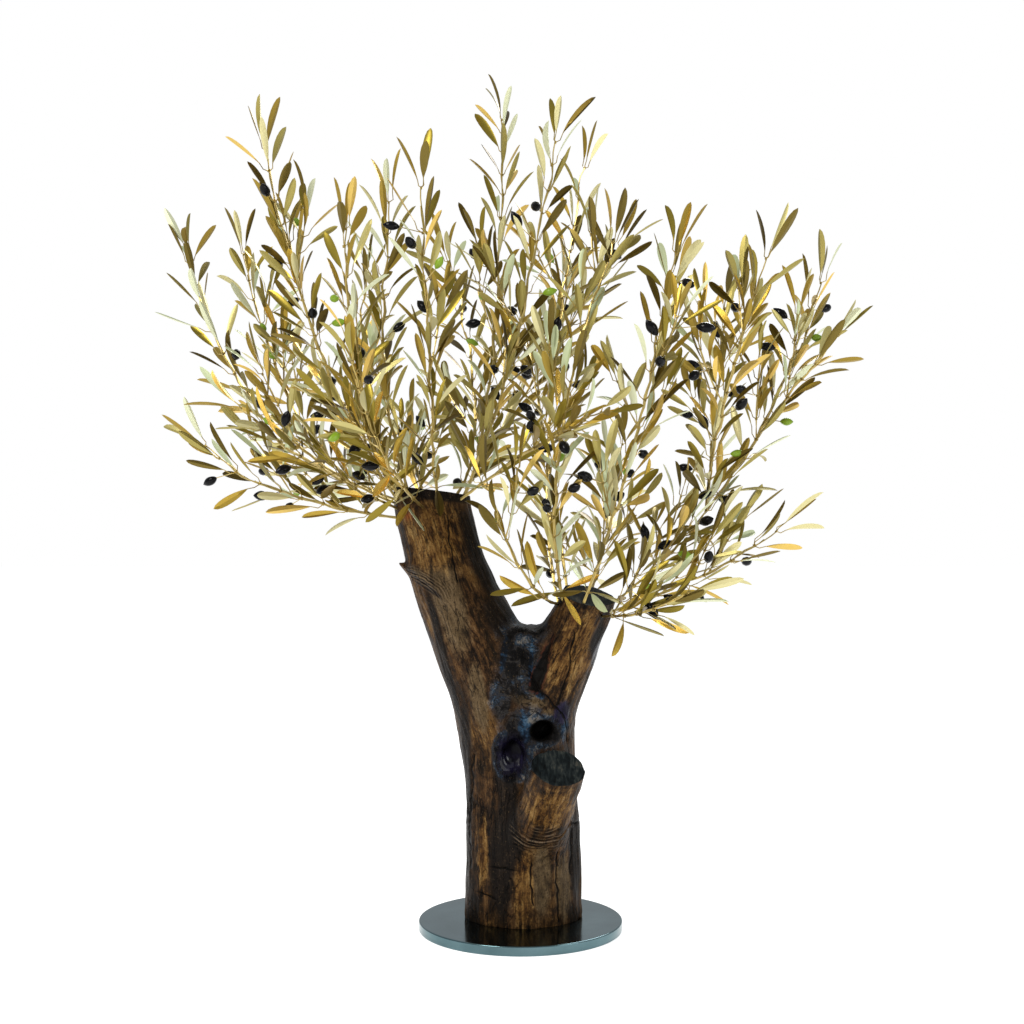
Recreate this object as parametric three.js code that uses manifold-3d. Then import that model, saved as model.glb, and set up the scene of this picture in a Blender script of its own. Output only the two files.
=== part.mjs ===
// Artificial olive tree: a stained wood trunk with two sawn arms, standing on a round steel plate,
// with sprays of brass wire and brass leaves let into the arms.
// Millimetres, +Z up, front towards -Y, origin at the centre of the plate's underside.
import * as THREE from 'three';
import Module from 'manifold-3d';

const wasm = await Module();
wasm.setup();

// ---- Driving dimensions: lengths in millimetres, angles in degrees -------------------------------

const GAP = 0.35; // clearance left between pieces that touch
const SLIVER = 0.03; // slivers thinner than this are cleaned away after a cut

const PLATE = { radius: 150, thickness: 14, bevel: 1.5, sides: 60 };

// A limb is drawn through level stations of its axis: x, y and z, then its half width and half depth.
const LIMB_SIDES = 24;
const TRUNK_STATIONS = [
  [4, 25, PLATE.thickness + GAP, 90, 84],
  [2, 24, 110, 86, 82],
  [1, 22, 200, 84, 80],
  [-6, 20, 290, 87, 82],
  [-8, 18, 360, 92, 80],
  [6, 14, 445, 34, 46],
];
const LEFT_STATIONS = [
  [-16, 20, 270, 58, 52],
  [-34, 21, 345, 73, 66],
  [-51, 24, 400, 77, 70],
  [-78, 28, 465, 70, 66],
  [-108, 32, 530, 61, 60],
  [-126, 37, 590, 58, 56],
  [-141, 42, 660, 55, 54],
];
const RIGHT_STATIONS = [
  [14, 18, 270, 40, 44],
  [42, 12, 345, 52, 58],
  [60, 4, 400, 53, 56],
  [80, -12, 450, 49, 51],
  [96, -32, 490, 43, 44],
  [112, -54, 530, 41, 41],
];
const FORK_LEVEL = 462; // where the two arms part from the trunk

// Saw cuts: a point on the cut face and the way the face looks.
const LEFT_CUT = { point: [-138, 40, 645], facing: [0.11, 0.05, 0.99] };
const RIGHT_CUT = { point: [101, -38, 491], facing: [0.23, -0.31, 0.92] };

// The sawn side stub: root and face centres, with the half width and half depth at each.
const STUB = {
  root: [20, -24, 128], rootSize: [48, 36],
  face: [52, -122, 258], faceSize: [38, 38],
  sides: 18, steps: 4,
};

// Two hollows in the front of the trunk, as ellipsoids sunk into it.
const HOLLOWS = [
  { centre: [31, -60, 298], size: [19, 34, 16], tilt: 0 },
  { centre: [-12, -66, 266], size: [17, 15, 29], tilt: 24 },
];

// Brass: the bare bundle of wires at the foot of each spray, and the leaves' reach past its tip.
const STEM = { sides: 6, footRadius: 4.2, topRadius: 3.2, bare: 62, steps: 3, holeDepth: 0.88 };
const MASS = { sides: 8, step: 50, tipReach: 62, tipShare: 0.34, footShare: 0.42 };

// Each spray leaves a hole in an arm's rim at an angle (0 is +X, 90 is +Y, the back), a drop below
// the cut. It travels a reach along its heading and climbs by its rise. Bow arches it: it first
// goes outwards and then climbs. Sway bows it sideways. Girth is the radius of its leaves.
const LEFT_SPRAYS = [
  { name: 'left_low', hole: 185, drop: 40, heading: 185, reach: 290, rise: 110, bow: 0.5, sway: 0, girth: 44 },
  { name: 'left_mid', hole: 205, drop: 28, heading: 225, reach: 290, rise: 140, bow: 0.2, sway: 0, girth: 42 },
  { name: 'left_upper', hole: 165, drop: 20, heading: 175, reach: 330, rise: 390, bow: 0.5, sway: 40, girth: 42 },
  { name: 'left_rear', hole: 150, drop: 14, heading: 150, reach: 310, rise: 400, bow: 0.8, sway: -40, girth: 42 },
  { name: 'left_high', hole: 195, drop: 14, heading: 200, reach: 200, rise: 510, bow: 0.3, sway: -10, girth: 44 },
  { name: 'left_front', hole: 225, drop: 16, heading: 250, reach: 200, rise: 370, bow: 0.6, sway: -10, girth: 44 },
  { name: 'left_back', hole: 130, drop: 12, heading: 110, reach: 250, rise: 390, bow: 0.4, sway: 40, girth: 46 },
  { name: 'back_low', hole: 105, drop: 30, heading: 98, reach: 310, rise: 160, bow: 0.3, sway: 0, girth: 48 },
  { name: 'front_low', hole: 260, drop: 26, heading: 253, reach: 270, rise: 190, bow: 0.4, sway: 0, girth: 44 },
  { name: 'centre_left', hole: 240, drop: 20, heading: 235, reach: 50, rise: 440, bow: 0.2, sway: -30, girth: 42 },
  { name: 'centre_front', hole: 285, drop: 12, heading: 265, reach: 150, rise: 430, bow: 0.3, sway: 0, girth: 42 },
  { name: 'centre_back', hole: 45, drop: 10, heading: 95, reach: 170, rise: 390, bow: 0.5, sway: -40, girth: 46 },
  { name: 'centre_high', hole: 10, drop: 12, heading: 30, reach: 70, rise: 580, bow: 0.6, sway: -10, girth: 42 },
  { name: 'centre_right', hole: 345, drop: 14, heading: 335, reach: 150, rise: 520, bow: 0.2, sway: 10, girth: 42 },
  { name: 'crossing_high', hole: 20, drop: 12, heading: 35, reach: 310, rise: 410, bow: 0.4, sway: 110, girth: 44 },
  { name: 'crossing_low', hole: 325, drop: 16, heading: 310, reach: 310, rise: 120, bow: -0.3, sway: 20, girth: 42 },
];
const RIGHT_SPRAYS = [
  { name: 'inner_left', hole: 195, drop: 10, heading: 210, reach: 120, rise: 170, bow: 0.9, sway: 50, girth: 34 },
  { name: 'inner_back', hole: 125, drop: 8, heading: 105, reach: 240, rise: 430, bow: -0.1, sway: 0, girth: 44 },
  { name: 'inner_high', hole: 215, drop: 8, heading: 320, reach: 90, rise: 510, bow: 0.2, sway: -70, girth: 42 },
  { name: 'right_tall', hole: 180, drop: 8, heading: 70, reach: 130, rise: 660, bow: 0.4, sway: 40, girth: 42 },
  { name: 'right_high', hole: 265, drop: 10, heading: 325, reach: 150, rise: 490, bow: 0.2, sway: 0, girth: 44 },
  { name: 'right_back', hole: 80, drop: 16, heading: 75, reach: 290, rise: 250, bow: 0.3, sway: 0, girth: 48 },
  { name: 'right_fork', hole: 15, drop: 14, heading: 20, reach: 160, rise: 140, bow: 0.2, sway: 0, girth: 34 },
  { name: 'right_low', hole: 350, drop: 24, heading: 5, reach: 250, rise: 120, bow: 0.2, sway: 0, girth: 42 },
  { name: 'right_lowest', hole: 320, drop: 28, heading: 310, reach: 170, rise: 40, bow: 0.6, sway: -30, girth: 38 },
];
// These grow out of another spray, at a share of its length.
const FORKED_SPRAYS = [
  { name: 'fork_back', from: 'right_fork', at: 1, heading: 75, reach: 230, rise: 350, bow: 0.1, sway: 0, girth: 46 },
  { name: 'fork_front', from: 'right_fork', at: 1, heading: 290, reach: 180, rise: 350, bow: 0.4, sway: -30, girth: 42 },
  { name: 'fork_far', from: 'right_fork', at: 1, heading: 15, reach: 190, rise: 350, bow: 0.2, sway: -10, girth: 42 },
  { name: 'fork_out', from: 'fork_far', at: 0.4, heading: 325, reach: 120, rise: 130, bow: 0, sway: 0, girth: 38 },
];

// ---- Materials -----------------------------------------------------------------------------------

function steelMaterial() {
  return new THREE.MeshStandardMaterial({ color: 0x3c4a50, roughness: 0.35, metalness: 0.9 });
}

function woodMaterial() {
  return new THREE.MeshStandardMaterial({ color: 0x3c2d1b, roughness: 0.45, metalness: 0 });
}

function brassMaterial() {
  return new THREE.MeshStandardMaterial({ color: 0x8a7432, roughness: 0.35, metalness: 1 });
}

// Leaf colours run from olive bronze to pale sage, dealt out in turn.
function leafMaterial(index) {
  const color = new THREE.Color().setHSL(0.125 + 0.02 * (index % 3), 0.42 - 0.06 * (index % 4), 0.3 + 0.05 * (index % 5));
  return new THREE.MeshStandardMaterial({ color, roughness: 0.5, metalness: 0.6 });
}

// ---- Solids --------------------------------------------------------------------------------------

// Joins rings of equal size into one closed solid. Each ring lists its points anticlockwise as seen
// from the ring after it.
function loft(rings) {
  const sides = rings[0].length;
  const positions = rings.flat().flatMap((point) => point.toArray());
  const ends = [rings[0], rings[rings.length - 1]];
  for (const ring of ends) {
    const middle = new THREE.Vector3();
    ring.forEach((point) => middle.addScaledVector(point, 1 / sides));
    positions.push(...middle.toArray());
  }
  const firstMiddle = rings.length * sides;
  const lastMiddle = firstMiddle + 1;
  const lastRing = (rings.length - 1) * sides;
  const triangles = [];
  for (let side = 0; side < sides; side += 1) {
    const next = (side + 1) % sides;
    triangles.push(firstMiddle, next, side, lastMiddle, lastRing + side, lastRing + next);
    for (let low = 0; low < lastRing; low += sides) {
      const high = low + sides;
      triangles.push(low + side, low + next, high + next, low + side, high + next, high + side);
    }
  }
  return new wasm.Manifold(new wasm.Mesh({
    numProp: 3,
    vertProperties: new Float32Array(positions),
    triVerts: new Uint32Array(triangles),
  }));
}

// One ring of points round a centre. The outline gives the radius factor at an angle in radians.
function ring(centre, right, up, halfWidth, halfDepth, sides, outline = () => 1) {
  return Array.from({ length: sides }, (_, side) => {
    const angle = (2 * Math.PI * side) / sides;
    const factor = outline(angle);
    return centre.clone()
      .addScaledVector(right, halfWidth * factor * Math.cos(angle))
      .addScaledVector(up, halfDepth * factor * Math.sin(angle));
  });
}

// Saws a solid flat. The side that the normal looks away from is kept.
function sawOff(solid, { point, facing }) {
  const normal = new THREE.Vector3(...facing).normalize();
  const offset = normal.dot(new THREE.Vector3(...point));
  return solid.trimByPlane(normal.clone().negate().toArray(), -offset);
}

// What is left of a solid outside all that is already placed.
function clearOf(solid, placed) {
  return largestBody(placed.reduce((rest, other) => rest.subtract(other).simplify(SLIVER), solid));
}

// Cutting may leave crumbs, so only the largest body is kept.
function largestBody(solid) {
  return solid.decompose().sort((one, other) => other.volume() - one.volume())[0];
}

function meshOf(name, solid, material) {
  const { vertProperties, triVerts } = solid.getMesh();
  const geometry = new THREE.BufferGeometry();
  geometry.setAttribute('position', new THREE.BufferAttribute(new Float32Array(vertProperties), 3));
  geometry.setIndex(new THREE.BufferAttribute(new Uint32Array(triVerts), 1));
  geometry.computeVertexNormals();
  const mesh = new THREE.Mesh(geometry, material);
  mesh.name = name;
  return mesh;
}

// ---- Base plate ----------------------------------------------------------------------------------

function basePlate() {
  const { radius, thickness, bevel, sides } = PLATE;
  const profile = [
    [0, 0], [radius - bevel, 0], [radius, bevel],
    [radius, thickness - bevel], [radius - bevel, thickness], [0, thickness],
  ];
  const geometry = new THREE.LatheGeometry(profile.map(([r, h]) => new THREE.Vector2(r, h)), sides);
  geometry.rotateX(Math.PI / 2);
  const mesh = new THREE.Mesh(geometry, steelMaterial());
  mesh.name = 'base_plate';
  return mesh;
}

// ---- Trunk, arms and stub ------------------------------------------------------------------------

// The axis and the size of a limb at any height, from its stations.
function limbAt(stations, height) {
  const axis = new THREE.CatmullRomCurve3(stations.map(([x, y, z]) => new THREE.Vector3(x, y, z)));
  const size = new THREE.CatmullRomCurve3(stations.map(([, , z, w, d]) => new THREE.Vector3(w, d, z)));
  let low = 0;
  let high = 1;
  for (let pass = 0; pass < 24; pass += 1) {
    const middle = (low + high) / 2;
    if (axis.getPoint(middle).z < height) low = middle;
    else high = middle;
  }
  const { x: halfWidth, y: halfDepth } = size.getPoint(low);
  return { centre: axis.getPoint(low), halfWidth, halfDepth };
}

// Old wood is never quite round: shallow flutes wander up the limb.
function fluting(height, phase) {
  return (angle) => 1
    + 0.022 * Math.sin(3 * angle + phase + height / 90)
    + 0.014 * Math.sin(5 * angle - 2 * phase - height / 70);
}

function limb(stations, phase, growth = 0) {
  const foot = stations[0][2];
  const head = stations[stations.length - 1][2];
  const steps = Math.ceil((head - foot) / 42);
  const right = new THREE.Vector3(1, 0, 0);
  const back = new THREE.Vector3(0, 1, 0);
  const rings = [];
  for (let step = 0; step <= steps; step += 1) {
    const height = foot + ((head - foot) * step) / steps;
    const { centre, halfWidth, halfDepth } = limbAt(stations, height);
    const outline = fluting(height, phase);
    rings.push(ring(centre, right, back, halfWidth + growth, halfDepth + growth, LIMB_SIDES, outline));
  }
  return loft(rings);
}

function hollow({ centre, size, tilt }) {
  const geometry = new THREE.SphereGeometry(1, 14, 9);
  const turn = new THREE.Matrix4().makeRotationY(THREE.MathUtils.degToRad(tilt));
  const place = new THREE.Matrix4().makeScale(...size).premultiply(turn).setPosition(...centre);
  const rings = [];
  for (let band = 8; band >= 1; band -= 1) {
    const start = band * 15;
    rings.push(Array.from({ length: 14 }, (_, side) => new THREE.Vector3()
      .fromBufferAttribute(geometry.attributes.position, start + side)
      .applyMatrix4(place)));
  }
  return loft(rings);
}

// The whole wood in one: the trunk and its two limbs, sawn off at their tops.
function wholeWood(growth = 0) {
  const left = sawOff(limb(LEFT_STATIONS, 0.6, growth), LEFT_CUT);
  const right = sawOff(limb(RIGHT_STATIONS, 2.1, growth), RIGHT_CUT);
  return limb(TRUNK_STATIONS, 1.3, growth).add(left).add(right);
}

function stub() {
  const root = new THREE.Vector3(...STUB.root);
  const face = new THREE.Vector3(...STUB.face);
  const along = face.clone().sub(root).normalize();
  const right = new THREE.Vector3(1, 0, 0).addScaledVector(along, -along.x).normalize();
  const up = along.clone().cross(right);
  const rings = [];
  for (let step = 0; step <= STUB.steps; step += 1) {
    const share = step / STUB.steps;
    const halfWidth = THREE.MathUtils.lerp(STUB.rootSize[0], STUB.faceSize[0], share);
    const halfDepth = THREE.MathUtils.lerp(STUB.rootSize[1], STUB.faceSize[1], share);
    const outline = fluting(120 * share, 0.4);
    rings.push(ring(root.clone().lerp(face, share), right, up, halfWidth, halfDepth, STUB.sides, outline));
  }
  return largestBody(loft(rings).subtract(limb(TRUNK_STATIONS, 1.3, GAP)));
}

function woodMeshes() {
  const hollows = HOLLOWS.map(hollow);
  const wood = hollows.reduce((solid, cutter) => solid.subtract(cutter), wholeWood());
  const trunk = sawOff(wood, { point: [0, 0, FORK_LEVEL], facing: [0, 0, 1] });
  const arms = sawOff(wood, { point: [0, 0, FORK_LEVEL + GAP], facing: [0, 0, -1] }).decompose();
  arms.sort((one, other) => one.boundingBox().min[0] - other.boundingBox().min[0]);
  return [
    meshOf('trunk', trunk, woodMaterial()),
    meshOf('arm_left', arms[0], woodMaterial()),
    meshOf('arm_right', arms[1], woodMaterial()),
    meshOf('side_stub', stub(), woodMaterial()),
  ];
}

// ---- Sprays --------------------------------------------------------------------------------------

// The way a spray grows from its hole. Past its tip it goes straight on.
class SprayCurve extends THREE.Curve {
  constructor(start, { heading, reach, rise, bow, sway }) {
    super();
    const angle = THREE.MathUtils.degToRad(heading);
    this.start = start;
    this.along = new THREE.Vector3(Math.cos(angle), Math.sin(angle), 0);
    this.side = new THREE.Vector3(-Math.sin(angle), Math.cos(angle), 0);
    Object.assign(this, { reach, rise, bow, sway });
    this.span = Math.hypot(reach, rise);
  }

  getPoint(t, target = new THREE.Vector3()) {
    const { reach, rise, bow, sway } = this;
    return target.copy(this.start)
      .addScaledVector(this.along, reach * ((1 + bow) * t - bow * t * t))
      .addScaledVector(this.side, sway * 4 * t * (1 - t))
      .add(new THREE.Vector3(0, 0, rise * ((1 - bow) * t + bow * t * t)));
  }

  beyond(distance) {
    return this.getPoint(1).addScaledVector(this.getTangent(1), distance);
  }

  ringAt(centre, t, radius, sides, outline) {
    const tangent = this.getTangent(THREE.MathUtils.clamp(t, 0, 1));
    const right = this.side.clone().addScaledVector(tangent, -tangent.dot(this.side)).normalize();
    return ring(centre, right, tangent.cross(right), radius, radius, sides, outline);
  }
}

// The hole sits a little inside the arm's surface, so that its stem really comes out of the wood.
function holeIn(stations, cut, { hole, drop }) {
  const angle = THREE.MathUtils.degToRad(hole);
  const { centre, halfWidth, halfDepth } = limbAt(stations, cut.point[2] - drop);
  return centre
    .add(new THREE.Vector3(halfWidth * Math.cos(angle), halfDepth * Math.sin(angle), 0)
      .multiplyScalar(STEM.holeDepth));
}

// The bare wires from the hole to where the leaves begin.
function stem(curve, growth = 0) {
  const end = (STEM.bare + growth) / curve.span;
  const rings = [];
  for (let step = 0; step <= STEM.steps; step += 1) {
    const share = step / STEM.steps;
    const radius = THREE.MathUtils.lerp(STEM.footRadius, STEM.topRadius, share) + growth;
    rings.push(curve.ringAt(curve.getPoint(end * share), end * share, radius, STEM.sides));
  }
  return loft(rings);
}

// Leaves stand off a spray in tufts, so a mass swells and shrinks along its length.
function tufts(share, index) {
  const phase = index * 2.4;
  return (angle) => 1
    + 0.10 * Math.sin(2 * angle + phase + 9 * share)
    + 0.08 * Math.sin(3 * angle - phase - 13 * share)
    + 0.09 * Math.sin(17 * share + phase);
}

// The mass of leaves round a spray, from the end of its bare wires to the tips of its last leaves.
function mass(curve, girth, first, tipReach, index, growth = 0) {
  const begin = first - growth / curve.span;
  const steps = Math.max(4, Math.round(((1 - begin) * curve.span) / MASS.step));
  const rings = [];
  for (let step = 0; step <= steps; step += 1) {
    const share = step / steps;
    const t = begin + (1 - begin) * share;
    const swell = MASS.footShare + (1 - MASS.footShare) * THREE.MathUtils.smoothstep(share, 0, 0.3);
    const taper = 1 - 0.3 * share * share;
    const radius = girth * swell * taper + growth;
    rings.push(curve.ringAt(curve.getPoint(t), t, radius, MASS.sides, tufts(share, index)));
  }
  const tip = curve.beyond(tipReach + growth);
  rings.push(curve.ringAt(tip, 1, girth * MASS.tipShare + growth, MASS.sides, tufts(1, index)));
  return loft(rings);
}

function sprayMeshes(arms) {
  const curves = new Map();
  const stems = [];
  const masses = [];
  const holed = [
    ...LEFT_SPRAYS.map((spray) => ({ spray, start: holeIn(LEFT_STATIONS, LEFT_CUT, spray) })),
    ...RIGHT_SPRAYS.map((spray) => ({ spray, start: holeIn(RIGHT_STATIONS, RIGHT_CUT, spray) })),
  ];
  for (const { spray, start } of holed) {
    const curve = new SprayCurve(start, spray);
    curves.set(spray.name, curve);
    stems.push({ name: `stem_${spray.name}`, curve });
    masses.push({ spray, curve, first: (STEM.bare + 2 * GAP) / curve.span });
  }
  for (const spray of FORKED_SPRAYS) {
    const curve = new SprayCurve(curves.get(spray.from).getPoint(spray.at), spray);
    curves.set(spray.name, curve);
    masses.push({ spray, curve, first: 0 });
  }
  // Stems and masses each give way to what is placed before them.
  const taken = [arms];
  const wires = stems.map(({ name, curve }) => {
    const rest = clearOf(stem(curve), taken);
    taken.push(stem(curve, GAP));
    return meshOf(name, rest, brassMaterial());
  });
  const leafy = masses.map(({ spray, curve, first }, index) => {
    const tipReach = spray.name === 'right_fork' ? 0 : MASS.tipReach;
    const rest = clearOf(mass(curve, spray.girth, first, tipReach, index), taken);
    taken.push(mass(curve, spray.girth, first, tipReach, index, GAP));
    return meshOf(`foliage_${spray.name}`, rest, leafMaterial(index));
  });
  return [...wires, ...leafy];
}

// ---- The tree ------------------------------------------------------------------------------------

const tree = new THREE.Group();
tree.name = 'artificial_olive_tree';
tree.add(basePlate(), ...woodMeshes(), ...sprayMeshes(wholeWood(GAP)));

export default tree;
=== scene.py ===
"""Artificial olive tree: a dark-stained wood trunk with two sawn arms on a round steel plate,
and sprays of twisted brass wire with brass leaves and olives let into the arms."""
import math
import random

import bpy
import numpy as np
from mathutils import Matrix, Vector, noise


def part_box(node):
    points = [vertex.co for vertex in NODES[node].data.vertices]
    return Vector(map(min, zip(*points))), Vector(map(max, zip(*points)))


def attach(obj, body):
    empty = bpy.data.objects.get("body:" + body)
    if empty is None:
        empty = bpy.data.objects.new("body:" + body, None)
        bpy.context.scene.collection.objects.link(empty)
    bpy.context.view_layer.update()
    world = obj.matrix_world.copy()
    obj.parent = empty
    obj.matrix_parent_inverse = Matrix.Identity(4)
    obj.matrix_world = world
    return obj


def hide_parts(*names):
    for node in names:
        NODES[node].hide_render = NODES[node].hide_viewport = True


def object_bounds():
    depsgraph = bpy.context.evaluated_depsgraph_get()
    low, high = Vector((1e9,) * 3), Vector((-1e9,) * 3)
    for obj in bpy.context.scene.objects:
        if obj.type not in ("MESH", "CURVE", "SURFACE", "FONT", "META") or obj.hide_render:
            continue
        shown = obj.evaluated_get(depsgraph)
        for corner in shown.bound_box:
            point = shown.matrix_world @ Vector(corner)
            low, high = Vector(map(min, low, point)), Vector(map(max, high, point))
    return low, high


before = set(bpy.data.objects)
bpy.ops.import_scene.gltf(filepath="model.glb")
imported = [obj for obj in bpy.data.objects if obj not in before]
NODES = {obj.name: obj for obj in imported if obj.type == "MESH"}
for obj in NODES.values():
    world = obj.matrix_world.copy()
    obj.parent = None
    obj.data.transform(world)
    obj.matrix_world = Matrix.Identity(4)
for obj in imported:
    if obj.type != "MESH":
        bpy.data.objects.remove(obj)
CAD_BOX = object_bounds()

MM = 0.001
SEED = 33

# ---- Driving sizes, in millimetres where a name says nothing else ----------------------------------

PLATE_BEVEL = 1.6
VOXEL = 2.45  # step of the wood's surface
SKIN = 0.4  # the wood's solids swell by this before they are joined, so that they meet
SPARE = 9  # extra wood on each limb's end before it is sawn off
FOLD_PITCH = 0.0052  # metres between the fine folds under the stub
FOLD_WAVE = 0.0110  # and between the broad ones
GRAIN_PITCH = 0.20  # how slowly the grain changes along a limb, against across it
SWELLING = 3.4  # this and the rest of the block are lifts and depths of the wood's relief
FLUTES = 1.7
FIBRES = 0.6
CRACK_DEPTH = 2.0
SLOT_DEPTH = 6.0
FOLD_HEIGHT = 1.2
HOLLOW_DEPTHS = (9.0, 6.0)  # the round one and the oval one
HOLLOW_RIMS = (2.6, 1.8)
RESIN_LIFT = 6.5
KNOT_RINGS = 0.9

BARE = 62  # wire between its hole and the first leaves
WIRE = 1.0  # half thickness of a stem wire
TWIG_WIRE = 0.75
STALK_WIRE = 0.7
WRAP_WIRE = 0.7
SUNK = 14  # how deep the wires go into the wood
TWIST_PITCH = 95  # one turn of a bundle
WHORL_STEP = (29, 46)
OVERHANG = 0.016  # metres that a leaf's tip may stand out of the solids' box
LEAF_LENGTH = (50, 73)
LEAF_WIDTH = (9.0, 13.4)
LEAF_THICKNESS = 0.7
OLIVE_LENGTH = 24
OLIVE_WIDTH = 13
LEAF_STALK = (8, 20)
OLIVE_STALK = (20, 38)
WHORL_LEAVES = 3
WHORL_SPREAD = 42  # degrees between a whorl's leaves and their stem, at the stem's foot
SPREAD_LOSS = 9  # how much narrower the whorls stand at its tip
TWIG_SPREAD = 38
TWIG_REACH = (70, 130)
TWIG_STEP = (24, 36)
LONG_SPRAY = 0.25  # metres past which a bundle has four wires
MISSING_LEAF = 0.06  # chances, at each leaf and at each whorl
OLIVE_CHANCE = 0.29
GREEN_CHANCE = 0.20
BLACK_SCALES = (0.98, 1.18)
GREEN_SCALES = (0.82, 0.98)

# How each spray grows from its hole: heading in degrees (0 is +X, 90 the back), reach and rise in
# millimetres, bow (outwards first, then up), sideways sway, and its side twigs: how many, and the
# shares of its length between which they leave it.
SPRAYS = {
    "left_low": (185, 290, 110, 0.5, 0, 2, 0.15, 0.60),
    "left_mid": (225, 290, 140, 0.2, 0, 2, 0.10, 0.50),
    "left_upper": (175, 330, 390, 0.5, 40, 1, 0.20, 0.45),
    "left_rear": (150, 310, 400, 0.8, -40, 4, 0.30, 0.80),
    "left_high": (200, 200, 510, 0.3, -10, 4, 0.30, 0.75),
    "left_front": (250, 200, 370, 0.6, -10, 2, 0.15, 0.60),
    "left_back": (110, 250, 390, 0.4, 40, 2, 0.20, 0.60),
    "back_low": (98, 310, 160, 0.3, 0, 4, 0.20, 0.80),
    "front_low": (253, 270, 190, 0.4, 0, 1, 0.30, 0.70),
    "centre_left": (235, 50, 440, 0.2, -30, 1, 0.30, 0.50),
    "centre_front": (265, 150, 430, 0.3, 0, 1, 0.30, 0.50),
    "centre_back": (95, 170, 390, 0.5, -40, 2, 0.30, 0.60),
    "centre_high": (30, 70, 580, 0.6, -10, 2, 0.35, 0.60),
    "centre_right": (335, 150, 520, 0.2, 10, 2, 0.25, 0.60),
    "crossing_high": (35, 310, 410, 0.4, 110, 3, 0.35, 0.80),
    "crossing_low": (310, 310, 120, -0.3, 20, 1, 0.40, 0.70),
    "inner_left": (210, 120, 170, 0.9, 50, 1, 0.60, 0.80),
    "inner_back": (105, 240, 430, -0.1, 0, 2, 0.50, 0.80),
    "inner_high": (320, 90, 510, 0.2, -70, 3, 0.45, 0.95),
    "right_tall": (70, 130, 660, 0.4, 40, 3, 0.50, 0.80),
    "right_high": (325, 150, 490, 0.2, 0, 6, 0.12, 0.90),
    "right_back": (75, 290, 250, 0.3, 0, 4, 0.20, 0.80),
    "right_fork": (20, 160, 140, 0.2, 0, 3, 0.12, 0.60),
    "right_low": (5, 250, 120, 0.2, 0, 3, 0.20, 0.70),
    "right_lowest": (310, 170, 40, 0.6, -30, 3, 0.15, 0.60),
    "fork_back": (75, 230, 350, 0.1, 0, 3, 0.30, 0.90),
    "fork_front": (290, 180, 350, 0.4, -30, 2, 0.40, 0.80),
    "fork_far": (15, 190, 350, 0.2, -10, 2, 0.30, 0.75),
    "fork_out": (325, 120, 130, 0, 0, 1, 0.30, 0.60),
}
# These carry a drooping rosette of leaves just over the wood.
ROSETTES = ("left_front", "centre_front", "inner_high", "right_high")
# These leave another spray, at a share of its length.
FORKS = {
    "fork_back": ("right_fork", 1.0),
    "fork_front": ("right_fork", 1.0),
    "fork_far": ("right_fork", 1.0),
    "fork_out": ("fork_far", 0.4),
}

# Leaf tones: one brass with some patina, dealt out leaf by leaf in lighter and darker copies that stand
# for lit and shaded leaves; the brightest gold copy is a painted highlight, and the pale sage one a sage
# patina with painted reflection of white light. Linear colours of the upper side and the underside,
# metalness, roughness and share.
LEAF_TONES_AND_PAINTED_LIGHT = {
    "dark_bronze": ((0.100, 0.067, 0.009), (0.165, 0.120, 0.026), 0.80, 0.36, 0.19),
    "olive_brass": ((0.245, 0.186, 0.026), (0.340, 0.282, 0.082), 0.80, 0.33, 0.29),
    "ochre_brass": ((0.430, 0.292, 0.046), (0.290, 0.200, 0.034), 0.80, 0.31, 0.20),
    # Painted highlight: the brightest gold copy of the brass.
    "bright_gold": ((0.830, 0.560, 0.120), (0.660, 0.460, 0.120), 0.85, 0.27, 0.08),
    "khaki": ((0.500, 0.435, 0.165), (0.620, 0.565, 0.290), 0.65, 0.38, 0.14),
    # Sage patina, paled further as painted reflection of white light.
    "pale_sage": ((0.510, 0.560, 0.340), (0.660, 0.680, 0.460), 0.45, 0.42, 0.10),
}


# ---- Small tools -----------------------------------------------------------------------------------

def deselect_all():
    bpy.ops.object.select_all(action="DESELECT")


def make_active(piece):
    deselect_all()
    piece.select_set(True)
    bpy.context.view_layer.objects.active = piece


def apply_modifiers(piece):
    make_active(piece)
    for modifier in list(piece.modifiers):
        bpy.ops.object.modifier_apply(modifier=modifier.name)


def unit(vectors):
    vectors = np.asarray(vectors, float)
    return vectors / np.maximum(np.linalg.norm(vectors, axis=-1, keepdims=True), 1e-12)


def smoothstep(low, high, values):
    share = np.clip((values - low) / (high - low), 0, 1)
    return share * share * (3 - 2 * share)


def positions(mesh):
    flat = np.empty(len(mesh.vertices) * 3, np.float32)
    mesh.vertices.foreach_get("co", flat)
    return flat.reshape(-1, 3).astype(float)


def normals(mesh):
    flat = np.empty(len(mesh.vertices) * 3, np.float32)
    mesh.vertices.foreach_get("normal", flat)
    return flat.reshape(-1, 3).astype(float)


def node_points(name):
    return positions(NODES[name].data)


# ---- Materials -------------------------------------------------------------------------------------

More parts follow.
